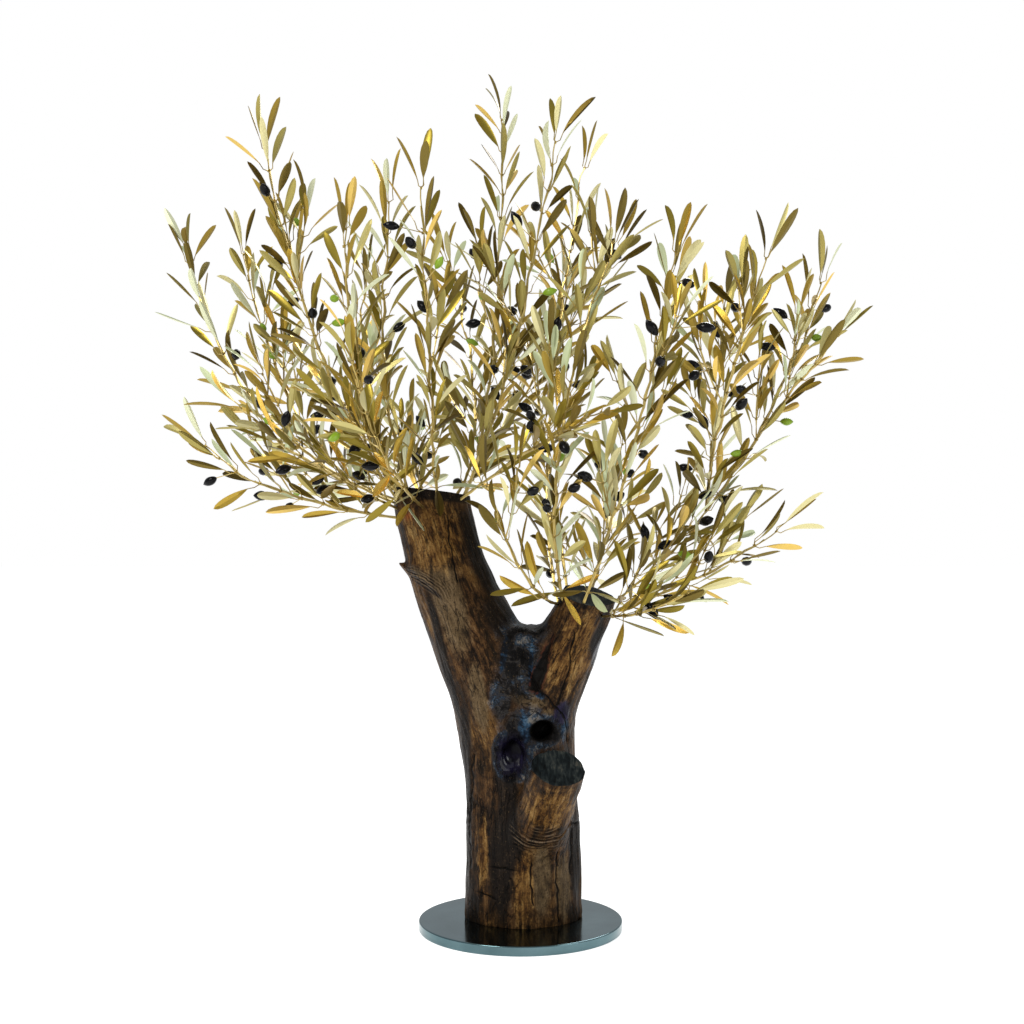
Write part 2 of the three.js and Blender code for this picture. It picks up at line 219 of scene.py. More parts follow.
class Recipe:
    """A node material under way: makes nodes, joins them, and ends in one Principled shader."""

    def __init__(self, name):
        self.material = bpy.data.materials.new(name)
        self.material.use_nodes = True
        self.tree = self.material.node_tree
        self.shader = self.tree.nodes["Principled BSDF"]
        self.object_place = self.add("ShaderNodeTexCoord").outputs["Object"]

    def add(self, kind, **settings):
        node = self.tree.nodes.new(kind)
        for key, value in settings.items():
            setattr(node, key, value)
        return node

    def feed(self, value, socket):
        if isinstance(value, bpy.types.NodeSocket):
            self.tree.links.new(value, socket)
        else:
            socket.default_value = value

    def set(self, **values):
        for key, value in values.items():
            self.feed(value, self.shader.inputs[key.replace("_", " ")])

    def noise(self, place, scale, detail=4.0, roughness=0.55, distortion=0.0):
        node = self.add("ShaderNodeTexNoise")
        self.feed(place, node.inputs["Vector"])
        node.inputs["Scale"].default_value = scale
        node.inputs["Detail"].default_value = detail
        node.inputs["Roughness"].default_value = roughness
        node.inputs["Distortion"].default_value = distortion
        return node.outputs["Fac"]

    def attribute(self, name, output="Fac"):
        return self.add("ShaderNodeAttribute", attribute_name=name).outputs[output]

    def ramp(self, factor, stops):
        node = self.add("ShaderNodeValToRGB")
        self.feed(factor, node.inputs["Fac"])
        elements = node.color_ramp.elements
        while len(elements) < len(stops):
            elements.new(0.5)
        for element, (place, color) in zip(elements, stops):
            element.position = place
            element.color = (*color, 1.0)
        return node.outputs["Color"]

    def span(self, value, low, high, new_low=0.0, new_high=1.0):
        node = self.add("ShaderNodeMapRange", clamp=True)
        self.feed(value, node.inputs["Value"])
        node.inputs["From Min"].default_value = low
        node.inputs["From Max"].default_value = high
        node.inputs["To Min"].default_value = new_low
        node.inputs["To Max"].default_value = new_high
        return node.outputs["Result"]

    def math(self, operation, first, second=0.0):
        node = self.add("ShaderNodeMath", operation=operation)
        self.feed(first, node.inputs[0])
        self.feed(second, node.inputs[1])
        return node.outputs["Value"]

    def times(self, first, second):
        return self.math("MULTIPLY", first, second)

    def plus(self, first, second):
        return self.math("ADD", first, second)

    def most(self, first, second):
        return self.math("MAXIMUM", first, second)

    def mix(self, factor, first, second, blend="MIX"):
        node = self.add("ShaderNodeMix", data_type="RGBA", blend_type=blend)
        self.feed(factor, node.inputs[0])
        for value, socket in ((first, node.inputs[6]), (second, node.inputs[7])):
            self.feed(value if isinstance(value, bpy.types.NodeSocket) else (*value, 1.0), socket)
        return node.outputs[2]

    def stretch(self, place, factors):
        node = self.add("ShaderNodeVectorMath", operation="MULTIPLY")
        self.feed(place, node.inputs[0])
        node.inputs[1].default_value = factors
        return node.outputs["Vector"]

    def bump(self, height, strength, distance, under=None):
        node = self.add("ShaderNodeBump")
        node.inputs["Strength"].default_value = strength
        node.inputs["Distance"].default_value = distance
        self.feed(height, node.inputs["Height"])
        if under is not None:
            self.feed(under, node.inputs["Normal"])
        return node.outputs["Normal"]


def stained_wood_material():
    """Debarked olive wood: streaks and checks along the grain, worn ochre and tan patches with a painted
    highlight along the spur's ridge, dark brown-black patches with painted shade on the flanks, under the
    spur's ridge and in the crotch, blue-black staining with painted blue glints in the crotch and hollows,
    and painted shade in the checks, cracks, folds, hollows, slot and stem holes, under a thin satin
    varnish."""
    wood = Recipe("stained olive wood")
    grain = wood.attribute("grain", "Vector")
    streaks = wood.noise(grain, 62, 6, 0.62, 0.5)
    fine = wood.noise(grain, 260, 5, 0.62)
    speckle = wood.noise(wood.object_place, 420, 3, 0.6)
    patches = wood.noise(wood.stretch(grain, (1, 1, 2.2)), 15, 5, 0.6, 0.8)
    mottle = wood.noise(wood.object_place, 75, 7, 0.65, 0.5)
    tone = wood.plus(wood.times(streaks, 0.42), wood.times(fine, 0.30))
    tone = wood.plus(tone, wood.times(mottle, 0.28))
    brown = wood.ramp(tone, (
        (0.38, (0.0030, 0.0020, 0.0012)),
        (0.46, (0.0130, 0.0070, 0.0030)),
        (0.51, (0.0350, 0.0165, 0.0062)),
        (0.57, (0.0820, 0.0405, 0.0145)),
        (0.64, (0.1400, 0.0820, 0.0360)),
    ))
    ochre = wood.ramp(tone, (
        (0.40, (0.0120, 0.0050, 0.0018)),
        (0.46, (0.0560, 0.0245, 0.0062)),
        (0.53, (0.1450, 0.0740, 0.0200)),
        (0.62, (0.2900, 0.1800, 0.0660)),
    ))
    tan = wood.ramp(tone, (
        (0.36, (0.0180, 0.0110, 0.0055)),
        (0.48, (0.0700, 0.0450, 0.0210)),
        (0.64, (0.1450, 0.0980, 0.0520)),
    ))
    # Dark brown-black: dark patches of the wood, and painted shade where its zones lie on the flanks, under
    # the spur's ridge and in the crotch.
    dark_wood_and_shade = wood.ramp(tone, (
        (0.38, (0.0016, 0.0012, 0.0010)),
        (0.54, (0.0095, 0.0062, 0.0042)),
        (0.66, (0.0420, 0.0270, 0.0165)),
    ))
    blue_noise = wood.noise(wood.object_place, 30, 8, 0.72, 0.4)
    # Blue-black staining; its blue stops are painted blue glints, a painted highlight on the dark crotch.
    stain_and_glint = wood.ramp(blue_noise, (
        (0.40, (0.0010, 0.0009, 0.0010)),
        (0.46, (0.0042, 0.0038, 0.0042)),
        (0.50, (0.0260, 0.0230, 0.0210)),
        (0.54, (0.0100, 0.0130, 0.0200)),
        (0.58, (0.0260, 0.0430, 0.0640)),
        (0.63, (0.1250, 0.1120, 0.0980)),
    ))
    # Painted blue glints: a painted highlight, dark blue to blue-grey.
    blue = wood.ramp(blue_noise, (
        (0.43, (0.0010, 0.0020, 0.0040)),
        (0.50, (0.0060, 0.0170, 0.0340)),
        (0.57, (0.0260, 0.0600, 0.1050)),
        (0.63, (0.0800, 0.1050, 0.1200)),
    ))
    violet = wood.ramp(blue_noise, (
        (0.42, (0.0011, 0.0009, 0.0028)),
        (0.54, (0.0052, 0.0042, 0.0130)),
        (0.64, (0.0190, 0.0160, 0.0380)),
    ))

    def zone(name, crispness=1.5):
        """A painted zone with its edge broken up along the grain."""
        ragged = wood.times(wood.math("SUBTRACT", tone, 0.5), crispness)
        return wood.span(wood.plus(wood.attribute(name), ragged), 0.38, 0.66)

    color = wood.mix(wood.span(patches, 0.54, 0.66, 0.0, 0.7), brown, ochre)
    color = wood.mix(wood.span(patches, 0.36, 0.45, 0.75, 0.0), color, dark_wood_and_shade)
    # Tan weathered patches, and one painted highlight: a thin tan strip along the spur's ridge.
    color = wood.mix(zone("pale"), color, tan)
    color = wood.mix(zone("worn"), color, ochre)
    # Painted shade, with some dark patches of the wood: the dark brown-black zones laid on the flanks,
    # under the spur's ridge and in the crotch.
    color = wood.mix(zone("dark_wood_and_shade"), color, dark_wood_and_shade)
    # Blue-black staining in the crotch and round the hollows, with painted blue glints in it.
    color = wood.mix(zone("stain_and_glint"), color, stain_and_glint)
    # Painted blue glints in the crotch, beside the slot and by the round hollow.
    color = wood.mix(zone("blue", 2.5), color, blue)
    smooth = zone("violet")
    rough = wood.math("SUBTRACT", 1.0, smooth)
    color = wood.mix(smooth, color, violet)
    check_noise = wood.noise(grain, 85, 3, 0.5, 0.3)
    check = wood.math("ABSOLUTE", wood.math("SUBTRACT", check_noise, 0.5))
    sound = wood.times(wood.span(patches, 0.42, 0.60, 1.0, 0.30), rough)
    checks = wood.times(wood.span(check, 0.004, 0.022, 1.0, 0.0), sound)
    crack = wood.span(wood.math("ABSOLUTE", wood.attribute("crack")), 0.0005, 0.0014, 1.0, 0.0)
    wave = wood.times(wood.attribute("fold_run"), 2 * math.pi / FOLD_PITCH)
    wave = wood.math("SINE", wave)
    folds = wood.times(wood.span(wave, -0.1, 0.9), wood.attribute("folds"))
    crests = wood.times(wood.span(wave, -0.95, -0.3, 0.55, 0.0), wood.attribute("folds"))
    # Painted shade: the checks, fold troughs, cracks and the dark mark (hollows, slot, stem holes) are
    # darkened to near black as shade in these recesses.
    dark = wood.most(wood.times(checks, 0.85), wood.times(folds, 0.8))
    dark = wood.most(dark, wood.most(crack, wood.attribute("dark")))
    color = wood.mix(wood.span(speckle, 0.56, 0.64, 0.0, 0.65), color, (0.0030, 0.0022, 0.0018))
    light_specks = wood.times(wood.span(speckle, 0.30, 0.37, 0.35, 0.0), rough)
    color = wood.mix(light_specks, color, (0.2000, 0.1300, 0.0600))
    color = wood.mix(crests, color, (0.1900, 0.1350, 0.0850))
    # Painted shade laid into the recesses.
    color = wood.mix(dark, color, (0.0022, 0.0018, 0.0015))
    slot = wood.attribute("slot")
    red_edge = wood.times(wood.span(slot, 0.04, 0.16), wood.span(slot, 0.26, 0.42, 0.7, 0.0))
    red_edge = wood.times(red_edge, wood.span(fine, 0.46, 0.56))
    color = wood.mix(red_edge, color, (0.0600, 0.0170, 0.0090))
    color = wood.mix(wood.attribute("rust"), color, (0.3000, 0.0620, 0.0120))
    relief = wood.bump(wood.times(streaks, rough), 0.7, 0.0020)
    relief = wood.bump(wood.times(fine, rough), 0.6, 0.0007, relief)
    crust = wood.times(wood.times(blue_noise, wood.attribute("stain_and_glint")), rough)
    relief = wood.bump(crust, 0.8, 0.0060, relief)
    sunk = wood.most(wood.most(checks, crack), folds)
    relief = wood.bump(wood.times(sunk, -1.0), 0.9, 0.0018, relief)
    gloss = wood.span(patches, 0.35, 0.7, 0.40, 0.52)
    gloss = wood.math("SUBTRACT", gloss, wood.times(smooth, 0.24))
    wood.set(Base_Color=color, Normal=relief, Roughness=gloss, Specular_IOR_Level=0.06)
    return wood.material


def end_grain_material():
    """Sawn end grain, soaked with dark staining: saw marks across it."""
    ends = Recipe("sawn end grain")
    across = ends.stretch(ends.object_place, (1.0, 0.25, 0.25))
    saw_marks = ends.noise(across, 240, 4, 0.6, 0.4)
    clouds = ends.noise(ends.object_place, 34, 4, 0.6)
    tone = ends.plus(ends.times(saw_marks, 0.5), ends.times(clouds, 0.5))
    color = ends.ramp(tone, (
        (0.40, (0.0012, 0.0018, 0.0020)),
        (0.50, (0.0060, 0.0090, 0.0100)),
        (0.58, (0.0200, 0.0240, 0.0230)),
        (0.66, (0.0520, 0.0480, 0.0380)),
    ))
    ends.set(Base_Color=color, Roughness=0.8, Specular_IOR_Level=0.07,
             Normal=ends.bump(saw_marks, 0.7, 0.0012))
    return ends.material


def resin_material():
    """Dried blue-black resin, hard and glossy."""
    resin = Recipe("dark resin")
    clouds = resin.noise(resin.object_place, 60, 3, 0.5)
    color = resin.ramp(clouds, ((0.4, (0.0015, 0.0014, 0.0035)), (0.62, (0.0090, 0.0080, 0.0200))))
    resin.set(Base_Color=color, Roughness=0.16, Specular_IOR_Level=0.30,
              Normal=resin.bump(clouds, 0.3, 0.002))
    return resin.material


def plate_steel_material():
    """Dark waxed steel, ground smooth, with faint cloudy tarnish."""
    steel = Recipe("dark waxed steel")
    tarnish = steel.noise(steel.object_place, 14, 4, 0.6)
    scratches = steel.noise(steel.stretch(steel.object_place, (1, 14, 1)), 90, 4, 0.6)
    color = steel.ramp(tarnish, (
        (0.30, (0.078, 0.134, 0.148)),
        (0.60, (0.108, 0.176, 0.194)),
        (0.80, (0.138, 0.212, 0.228)),
    ))
    haze = steel.plus(tarnish, steel.times(scratches, 0.5))
    steel.set(Base_Color=color, Metallic=1.0, Roughness=steel.span(haze, 0.5, 1.1, 0.10, 0.19),
              Normal=steel.bump(scratches, 0.08, 0.0002))
    return steel.material


def plain_material(name, color, metal, rough, shine=0.35):
    """One plain finish all over: for wires, leaves and lacquered olives."""
    plain = Recipe(name)
    plain.set(Base_Color=(*color, 1.0), Metallic=metal, Roughness=rough, Specular_IOR_Level=shine)
    return plain.material


# ---- Stage -----------------------------------------------------------------------------------------

def pale_floor():
    bpy.ops.mesh.primitive_plane_add(size=30, location=(0, 0, 0))
    floor = bpy.context.active_object
    floor.name = "pale_floor"
    paint = Recipe("pale floor paint")
    paint.set(Base_Color=(0.92, 0.92, 0.92, 1), Roughness=0.9, Specular_IOR_Level=0.1,
              Emission_Color=(1, 1, 1, 1), Emission_Strength=0.56)
    floor.data.materials.append(paint.material)


def soft_world():
    """White to the eye, and a dimmer soft light to the object."""
    world = bpy.data.worlds.new("soft studio")
    bpy.context.scene.world = world
    world.use_nodes = True
    tree = world.node_tree
    dim = tree.nodes["Background"]
    dim.inputs["Color"].default_value = (0.94, 0.97, 1.0, 1)
    dim.inputs["Strength"].default_value = 0.52
    white = tree.nodes.new("ShaderNodeBackground")
    white.inputs["Color"].default_value = (1, 1, 1, 1)
    seen = tree.nodes.new("ShaderNodeLightPath").outputs["Is Camera Ray"]
    choice = tree.nodes.new("ShaderNodeMixShader")
    tree.links.new(seen, choice.inputs[0])
    tree.links.new(dim.outputs[0], choice.inputs[1])
    tree.links.new(white.outputs[0], choice.inputs[2])
    tree.links.new(choice.outputs[0], tree.nodes["World Output"].inputs["Surface"])


def softbox(name, place, aim, size, power, color=(1, 1, 1)):
    light = bpy.data.lights.new(name, "AREA")
    light.shape = "DISK"
    light.size = size
    light.energy = power
    light.color = color
    holder = bpy.data.objects.new(name, light)
    bpy.context.scene.collection.objects.link(holder)
    holder.location = place
    holder.rotation_euler = (Vector(aim) - Vector(place)).to_track_quat("-Z", "Y").to_euler()


def lights():
    middle = (0, 0, 0.65)
    softbox("key", (-1.9, -2.3, 2.7), middle, 1.4, 86, (1.0, 0.97, 0.92))
    softbox("fill", (2.6, -1.8, 1.3), middle, 1.6, 24)
    softbox("rim", (0.9, 2.4, 2.4), middle, 1.4, 40)


def camera():
    """Level, a little below the middle of the tree's height, straight in front of it."""
    lens = bpy.data.cameras.new("camera")
    lens.lens = 54.1
    lens.sensor_width = 36
    holder = bpy.data.objects.new("camera", lens)
    bpy.context.scene.collection.objects.link(holder)
    holder.location = (-0.0126, -2.274, 0.6142)
    holder.rotation_euler = (math.radians(90), 0, 0)
    bpy.context.scene.camera = holder


# ---- Steel plate -----------------------------------------------------------------------------------

def steel_plate():
    """The round foot, with an eased edge."""
    low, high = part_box("base_plate")
    thickness = high[2] - low[2]
    deselect_all()
    bpy.ops.mesh.primitive_cylinder_add(
        vertices=160, radius=(high[0] - low[0]) / 2, depth=thickness,
        location=(0, 0, thickness / 2))
    plate = bpy.context.active_object
    plate.name = "steel_plate"
    bpy.ops.object.transform_apply(location=True, rotation=True, scale=True)
    bevel = plate.modifiers.new("eased edge", "BEVEL")
    bevel.width = PLATE_BEVEL * MM
    bevel.segments = 4
    bevel.limit_method = "ANGLE"
    apply_modifiers(plate)
    bpy.ops.object.mode_set(mode="EDIT")
    bpy.ops.mesh.select_all(action="DESELECT")
    bpy.ops.object.mode_set(mode="OBJECT")
    for face in plate.data.polygons:
        face.select = face.normal.z > 0.99
    bpy.ops.object.mode_set(mode="EDIT")
    bpy.ops.mesh.inset(thickness=2 * MM)
    bpy.ops.mesh.inset(thickness=0.05)
    bpy.ops.object.mode_set(mode="OBJECT")
    bpy.ops.object.shade_smooth_by_angle(angle=math.radians(30))
    plate.data.materials.append(plate_steel_material())
    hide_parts("base_plate")
    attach(plate, "root")
    return plate


# ---- Wood ------------------------------------------------------------------------------------------

# Places on the wood are in metres, and (x, z) places lie in the front or back view.
SAWN_ENDS = {
    "arm_left": (0.11, 0.05, 0.99),
    "arm_right": (0.23, -0.31, 0.92),
    "side_stub": (0.20, -0.60, 0.78),
}
STUB_AXIS = ((0.020, -0.024, 0.128), (0.052, -0.122, 0.258))
HOLLOWS = {
    "round": ((0.031, -0.062, 0.298), (0.019, 0.016)),
    "oval": ((-0.012, -0.070, 0.264), (0.020, 0.027)),
}
SLOT = ((0.046, 0.437), (0.021, 0.362))  # a deep dark groove down the right arm
CURL = ((-0.155, 0.524), (-0.110, 0.497))  # where the wood curls in fine folds below the spur
CURL_CENTRE = (-0.166, 0.459)
CURL_FINENESS = 1.3
RESIN = ((-0.019, -0.068, 0.253), (0.011, 0.020, 0.013))  # a glossy drop in the oval hollow, and its size
CRACKS = (
    ("front", ((0.054, 0.122), (0.051, 0.083), (0.055, 0.020))),
    ("front", ((-0.106, 0.602), (-0.101, 0.560), (-0.092, 0.512))),
    ("front", ((0.077, 0.440), (0.070, 0.385), (0.056, 0.338))),
    ("front", ((0.012, 0.385), (0.034, 0.352), (0.062, 0.322), (0.068, 0.280))),
    ("front", ((-0.038, 0.100), (-0.010, 0.097))),
    ("front", ((-0.060, 0.060), (-0.040, 0.054))),
    ("front", ((0.068, 0.160), (0.086, 0.157))),
    ("front", ((-0.070, 0.262), (-0.073, 0.180), (-0.076, 0.090))),
    ("front", ((0.014, 0.108), (0.017, 0.048))),
    ("front", ((0.076, 0.150), (0.074, 0.086))),
    ("back", ((-0.020, 0.400), (-0.012, 0.300), (-0.018, 0.160), (-0.006, 0.040))),
    ("back", ((-0.095, 0.610), (-0.080, 0.540), (-0.062, 0.470))),
    ("back", ((0.048, 0.240), (0.056, 0.150), (0.052, 0.030))),
    ("back", ((0.062, 0.430), (0.040, 0.370))),
)
# Painted zones: side, middle (x, z), half width, half height and lean in degrees from upright.
ZONES = {
    "pale": (
        ("front", (-0.106, 0.490), 0.022, 0.080, 15),
        ("front", (-0.060, 0.345), 0.012, 0.050, 8),
        # Painted highlight: a thin tan strip along the spur's ridge.
        ("front", (-0.138, 0.516), 0.030, 0.006, -40),
        ("front", (0.014, 0.343), 0.026, 0.010, -12),
        ("front", (0.040, 0.322), 0.010, 0.008, 0),
        ("front", (0.030, 0.085), 0.014, 0.050, 0),
        ("front", (0.062, 0.070), 0.012, 0.044, 0),
        ("back", (-0.070, 0.470), 0.026, 0.090, 12),
        ("back", (0.035, 0.200), 0.024, 0.110, 0),
    ),
    "worn": (
        ("front", (-0.126, 0.580), 0.040, 0.050, 12),
        ("front", (0.078, 0.412), 0.032, 0.064, -18),
        ("front", (0.040, 0.196), 0.034, 0.028, 0),
        ("front", (0.004, 0.070), 0.014, 0.052, 0),
        ("front", (-0.056, 0.120), 0.008, 0.050, 0),
        ("back", (-0.030, 0.120), 0.020, 0.080, 0),
        ("back", (0.080, 0.410), 0.022, 0.050, -15),
    ),
    # Painted blue glints, a painted highlight in the crotch, beside the slot and by the round hollow.
    "blue": (
        ("front", (0.0145, 0.398), 0.0032, 0.030, -4),
        ("front", (0.028, 0.350), 0.0100, 0.006, -35),
        ("front", (-0.024, 0.408), 0.0050, 0.028, -8),
        ("front", (0.006, 0.302), 0.0075, 0.022, 8),
        ("front", (0.062, 0.300), 0.0060, 0.020, 0),
        ("back", (0.010, 0.400), 0.0050, 0.030, 0),
    ),
    "violet": (
        ("front", (-0.012, 0.264), 0.024, 0.032, 0),
        ("front", (0.060, 0.322), 0.012, 0.018, -20),
        ("front", (0.112, 0.404), 0.008, 0.022, -15),
    ),
    # Dark brown-black zones: partly dark patches of the wood, partly painted shade on the flanks, under the
    # spur's ridge and in the crotch.
    "dark_wood_and_shade": (
        ("front", (-0.125, 0.640), 0.080, 0.009, -6),
        ("front", (-0.056, 0.545), 0.020, 0.075, 22),
        ("front", (-0.024, 0.455), 0.024, 0.042, 40),
        ("front", (-0.030, 0.100), 0.016, 0.078, 0),
        ("front", (0.112, 0.424), 0.012, 0.028, -15),
        ("front", (-0.024, 0.226), 0.016, 0.026, 0),
        ("front", (-0.130, 0.500), 0.022, 0.004, -32),
        ("front", (0.082, 0.110), 0.010, 0.064, 0),
        ("front", (-0.082, 0.200), 0.010, 0.150, 0),
        ("front", (-0.018, 0.160), 0.016, 0.080, 0),
        ("front", (-0.112, 0.400), 0.007, 0.110, 14),
        ("back", (0.004, 0.300), 0.022, 0.090, 6),
        ("back", (-0.120, 0.630), 0.070, 0.014, 0),
        ("back", (0.070, 0.100), 0.014, 0.090, 0),
    ),
    # Blue-black staining, whose ramp also paints blue glints.
    "stain_and_glint": (
        ("both", (0.008, 0.445), 0.036, 0.024, 0),
        ("front", (-0.002, 0.398), 0.030, 0.060, 0),
        ("front", (0.006, 0.300), 0.036, 0.034, 0),
        ("front", (-0.028, 0.345), 0.016, 0.034, 0),
        ("back", (0.004, 0.420), 0.030, 0.040, 0),
    ),
}
RUST_SPOTS = ((-0.163, 0.010, 0.608), (0.078, -0.095, 0.461))
RUST_SIZE = (0.006, 0.02, 0.006)
# Ridges run between (x, z) places of the front, with a width in metres and a lift in millimetres.
RIDGES = (
    ((-0.160, 0.534), (-0.128, 0.512), 0.016, 4.0),
    ((-0.128, 0.512), (-0.108, 0.488), 0.014, 3.0),
    ((-0.012, 0.345), (-0.030, 0.296), 0.014, 2.5),
    ((0.060, 0.345), (0.066, 0.300), 0.014, 2.0),
)
# Knots: place, size and lift in millimetres.
KNOTS = (
    ((-0.110, -0.030, 0.487), (0.012, 0.030, 0.011), 3.0),
    ((-0.060, 0.100, 0.330), (0.024, 0.030, 0.026), 6.0),
    ((0.070, 0.085, 0.170), (0.020, 0.030, 0.022), 5.0),
    ((-0.080, -0.020, 0.180), (0.020, 0.030, 0.030), 3.0),
)
# The spur on the left arm's flank: where it is pulled out, how wide, and how far in millimetres.
SPUR = {
    "height": 0.526,
    "shift": (0.003, -0.004, 0.0),
    "size": (0.010, 0.014, 0.008),
    "pull": (-13.0, -5.0, 10.0),
}


def slice_centre(name, height, half=0.024):
    """The middle of a solid's section near a height."""
    points = node_points(name)
    near = points[np.abs(points[:, 2] - height) < half]
    return (near.min(0) + near.max(0)) / 2


def limb_axes():
    """The axes of the two limbs, each from the trunk's foot up through its arm."""
    low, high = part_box("trunk")
    foot = [slice_centre("trunk", low[2] + (high[2] - low[2]) * share) for share in (0.02, 0.3, 0.55)]
    axes = []
    for name in ("arm_left", "arm_right"):
        bottom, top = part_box(name)
        arm = [slice_centre(name, bottom[2] + (top[2] - bottom[2]) * share) for share in (0.1, 0.9)]
        arm[-1] = arm[0] + (arm[-1] - arm[0]) * 1.15
        axes.append(np.array(foot + arm))
    return axes


def beside_axis(points, axis):
    """How far points stand off a limb's axis, level by level, and how far up it they are."""
    height = points[:, 2]
    centre = np.stack([np.interp(height, axis[:, 2], axis[:, lane]) for lane in (0, 1)], -1)
    off = points[:, :2] - centre
    return np.linalg.norm(off, axis=1), np.column_stack([off, height * GRAIN_PITCH])


def beside_stub(points):
    """The same for the side stub, whose axis leans."""
    foot, face = (np.array(end) for end in STUB_AXIS)
    direction = unit(face - foot)
    along = (points - foot) @ direction
    off = points - foot - along[:, None] * direction
    return np.linalg.norm(off, axis=1), off + direction * (along * GRAIN_PITCH)[:, None]


def grain_of(points):
    """A place for each point that changes quickly across the wood's grain and slowly along it. Where
    limbs meet, their grains blend."""
    fields = [beside_axis(points, axis) for axis in limb_axes()]
    fields.append(beside_stub(points))
    gaps = np.stack([gap / reach for (gap, _), reach in zip(fields, (0.060, 0.050, 0.026))], -1)
    gaps[:, 2] += 9 * smoothstep(-0.075, -0.045, points[:, 1]) + 9 * smoothstep(0.27, 0.30, points[:, 2])
    weights = np.exp(-7 * (gaps - gaps.min(1, keepdims=True)))
    weights /= weights.sum(1, keepdims=True)
    return sum(weights[:, [place]] * grain for place, (_, grain) in enumerate(fields))


def soften(piece, name, weights, rounds):
    """Eases one region of a piece, so that what meets there flows together."""
    group = piece.vertex_groups.new(name=name)
    for step in (1.0, 0.75, 0.5, 0.25):
        chosen = np.flatnonzero((weights > step - 0.125) & (weights <= step + 0.125))
        group.add(chosen.tolist(), step, "REPLACE")
    ease = piece.modifiers.new(name, "SMOOTH")
    ease.vertex_group = name
    ease.factor = 0.5
    ease.iterations = rounds
    apply_modifiers(piece)


def wood_blank():
    """The wood's solids, swollen until they meet, joined and given one even fine surface, with the
    arms and the stub flowing into the trunk."""
    copies = []
    for name in ("trunk", "arm_left", "arm_right", "side_stub"):
        copy = bpy.data.objects.new(f"blank_{name}", NODES[name].data.copy())
        bpy.context.scene.collection.objects.link(copy)
        make_active(copy)
        bpy.ops.object.mode_set(mode="EDIT")
        bpy.ops.mesh.select_all(action="SELECT")
        bpy.ops.mesh.remove_doubles(threshold=1e-5)
        bpy.ops.transform.shrink_fatten(value=SKIN * MM)
        bpy.ops.object.mode_set(mode="OBJECT")
        if name in SAWN_ENDS:
            facing = unit(SAWN_ENDS[name])
            corners = positions(copy.data)
            corners[corners @ facing > (corners @ facing).max() - 0.0008] += facing * SPARE * MM
            copy.data.vertices.foreach_set("co", corners.astype(np.float32).ravel())
        copies.append(copy)
    deselect_all()
    for copy in copies:
        copy.select_set(True)
    bpy.context.view_layer.objects.active = copies[0]
    bpy.ops.object.join()
    blank = bpy.context.active_object
    blank.name = "carved_wood"
    remesh = blank.modifiers.new("even surface", "REMESH")
    remesh.mode = "VOXEL"
    remesh.voxel_size = VOXEL * MM
    ease = blank.modifiers.new("ease facets", "SMOOTH")
    ease.factor = 0.5
    ease.iterations = 16
    apply_modifiers(blank)

    points = positions(blank.data)
    height = points[:, 2]
    clear = np.ones(len(points))
    for spot, _ in HOLLOWS.values():
        clear *= smoothstep(0.026, 0.040, np.linalg.norm(points - np.array(spot), axis=1))
    shoulder = smoothstep(0.24, 0.30, height) * smoothstep(0.47, 0.41, height) * clear
    soften(blank, "shoulders", shoulder, 420)
    points = positions(blank.data)
    foot, face = (np.array(end) for end in STUB_AXIS)
    gap, _ = beside_stub(points)
    along = (points - foot) @ unit(face - foot) / np.linalg.norm(face - foot)
    collar = smoothstep(0.085, 0.055, gap) * smoothstep(-0.02, -0.05, points[:, 1])
    collar *= smoothstep(-0.35, 0.0, along) * smoothstep(0.88, 0.62, along) * clear
    soften(blank, "collar", collar, 420)
    return blank


def fractal(points, scale, octaves=3, seed=0.0):
    """Fractal noise at each point, about -1 to 1."""
    offset = Vector((seed * 7.3, seed * 3.1, seed * 5.7))
    return np.array([noise.fractal(Vector(p) * scale + offset, 0.9, 2.0, octaves) for p in points])


def side_of(outward, side):
    """1 where the wood faces the front or the back, falling to 0 round its flanks."""
    turned = {"front": -outward[:, 1], "back": outward[:, 1], "both": np.ones(len(outward))}[side]
    return smoothstep(-0.2, 0.25, turned)


def zone_share(points, outward, name):
    """How strongly a painted zone covers each point."""
    share = np.zeros(len(points))
    for side, (x, z), half_width, half_height, lean in ZONES[name]:
        angle = math.radians(lean)
        across = (points[:, 0] - x) * math.cos(angle) + (points[:, 2] - z) * math.sin(angle)
        upright = (points[:, 2] - z) * math.cos(angle) - (points[:, 0] - x) * math.sin(angle)
        gap = (across / half_width) ** 2 + (upright / half_height) ** 2
        share = np.maximum(share, np.exp(-0.7 * gap) * side_of(outward, side))
    return share


def crack_distance(points, outward):
    """Signed distance in the front or back view to the nearest crack, which wanders a little."""
    warp = np.column_stack([fractal(points, 38, 3, seed) for seed in (21, 22)]) * 0.0032
    flat = points[:, [0, 2]] + warp
    nearest = np.full(len(points), 0.05)
    for side, line in CRACKS:
        facing = side_of(outward, side) > 0.3
        for start, end in zip(line, line[1:]):
            start = np.array(start)
            run = np.array(end) - start
            length = np.linalg.norm(run)
            beside = flat - start
            share = np.clip(beside @ run / length ** 2, 0, 1)
            gap = np.linalg.norm(beside - share[:, None] * run, axis=1)
            sign = np.where(beside @ np.array((-run[1], run[0])) < 0, -1.0, 1.0)
            closer = facing & (gap < np.abs(nearest))
            nearest[closer] = (sign * gap)[closer]
    return nearest


def near_line(points, start, end, width):
    """1 on a line in the front view, falling to 0 at a width away. Ends are (x, z)."""
    start = np.array(start)
    run = np.array(end) - start
    flat = points[:, [0, 2]]
    share = np.clip(((flat - start) @ run) / (run @ run), 0, 1)
    gap = np.linalg.norm(flat - start - share[:, None] * run, axis=1)
    return np.clip(1 - gap / width, 0, 1)


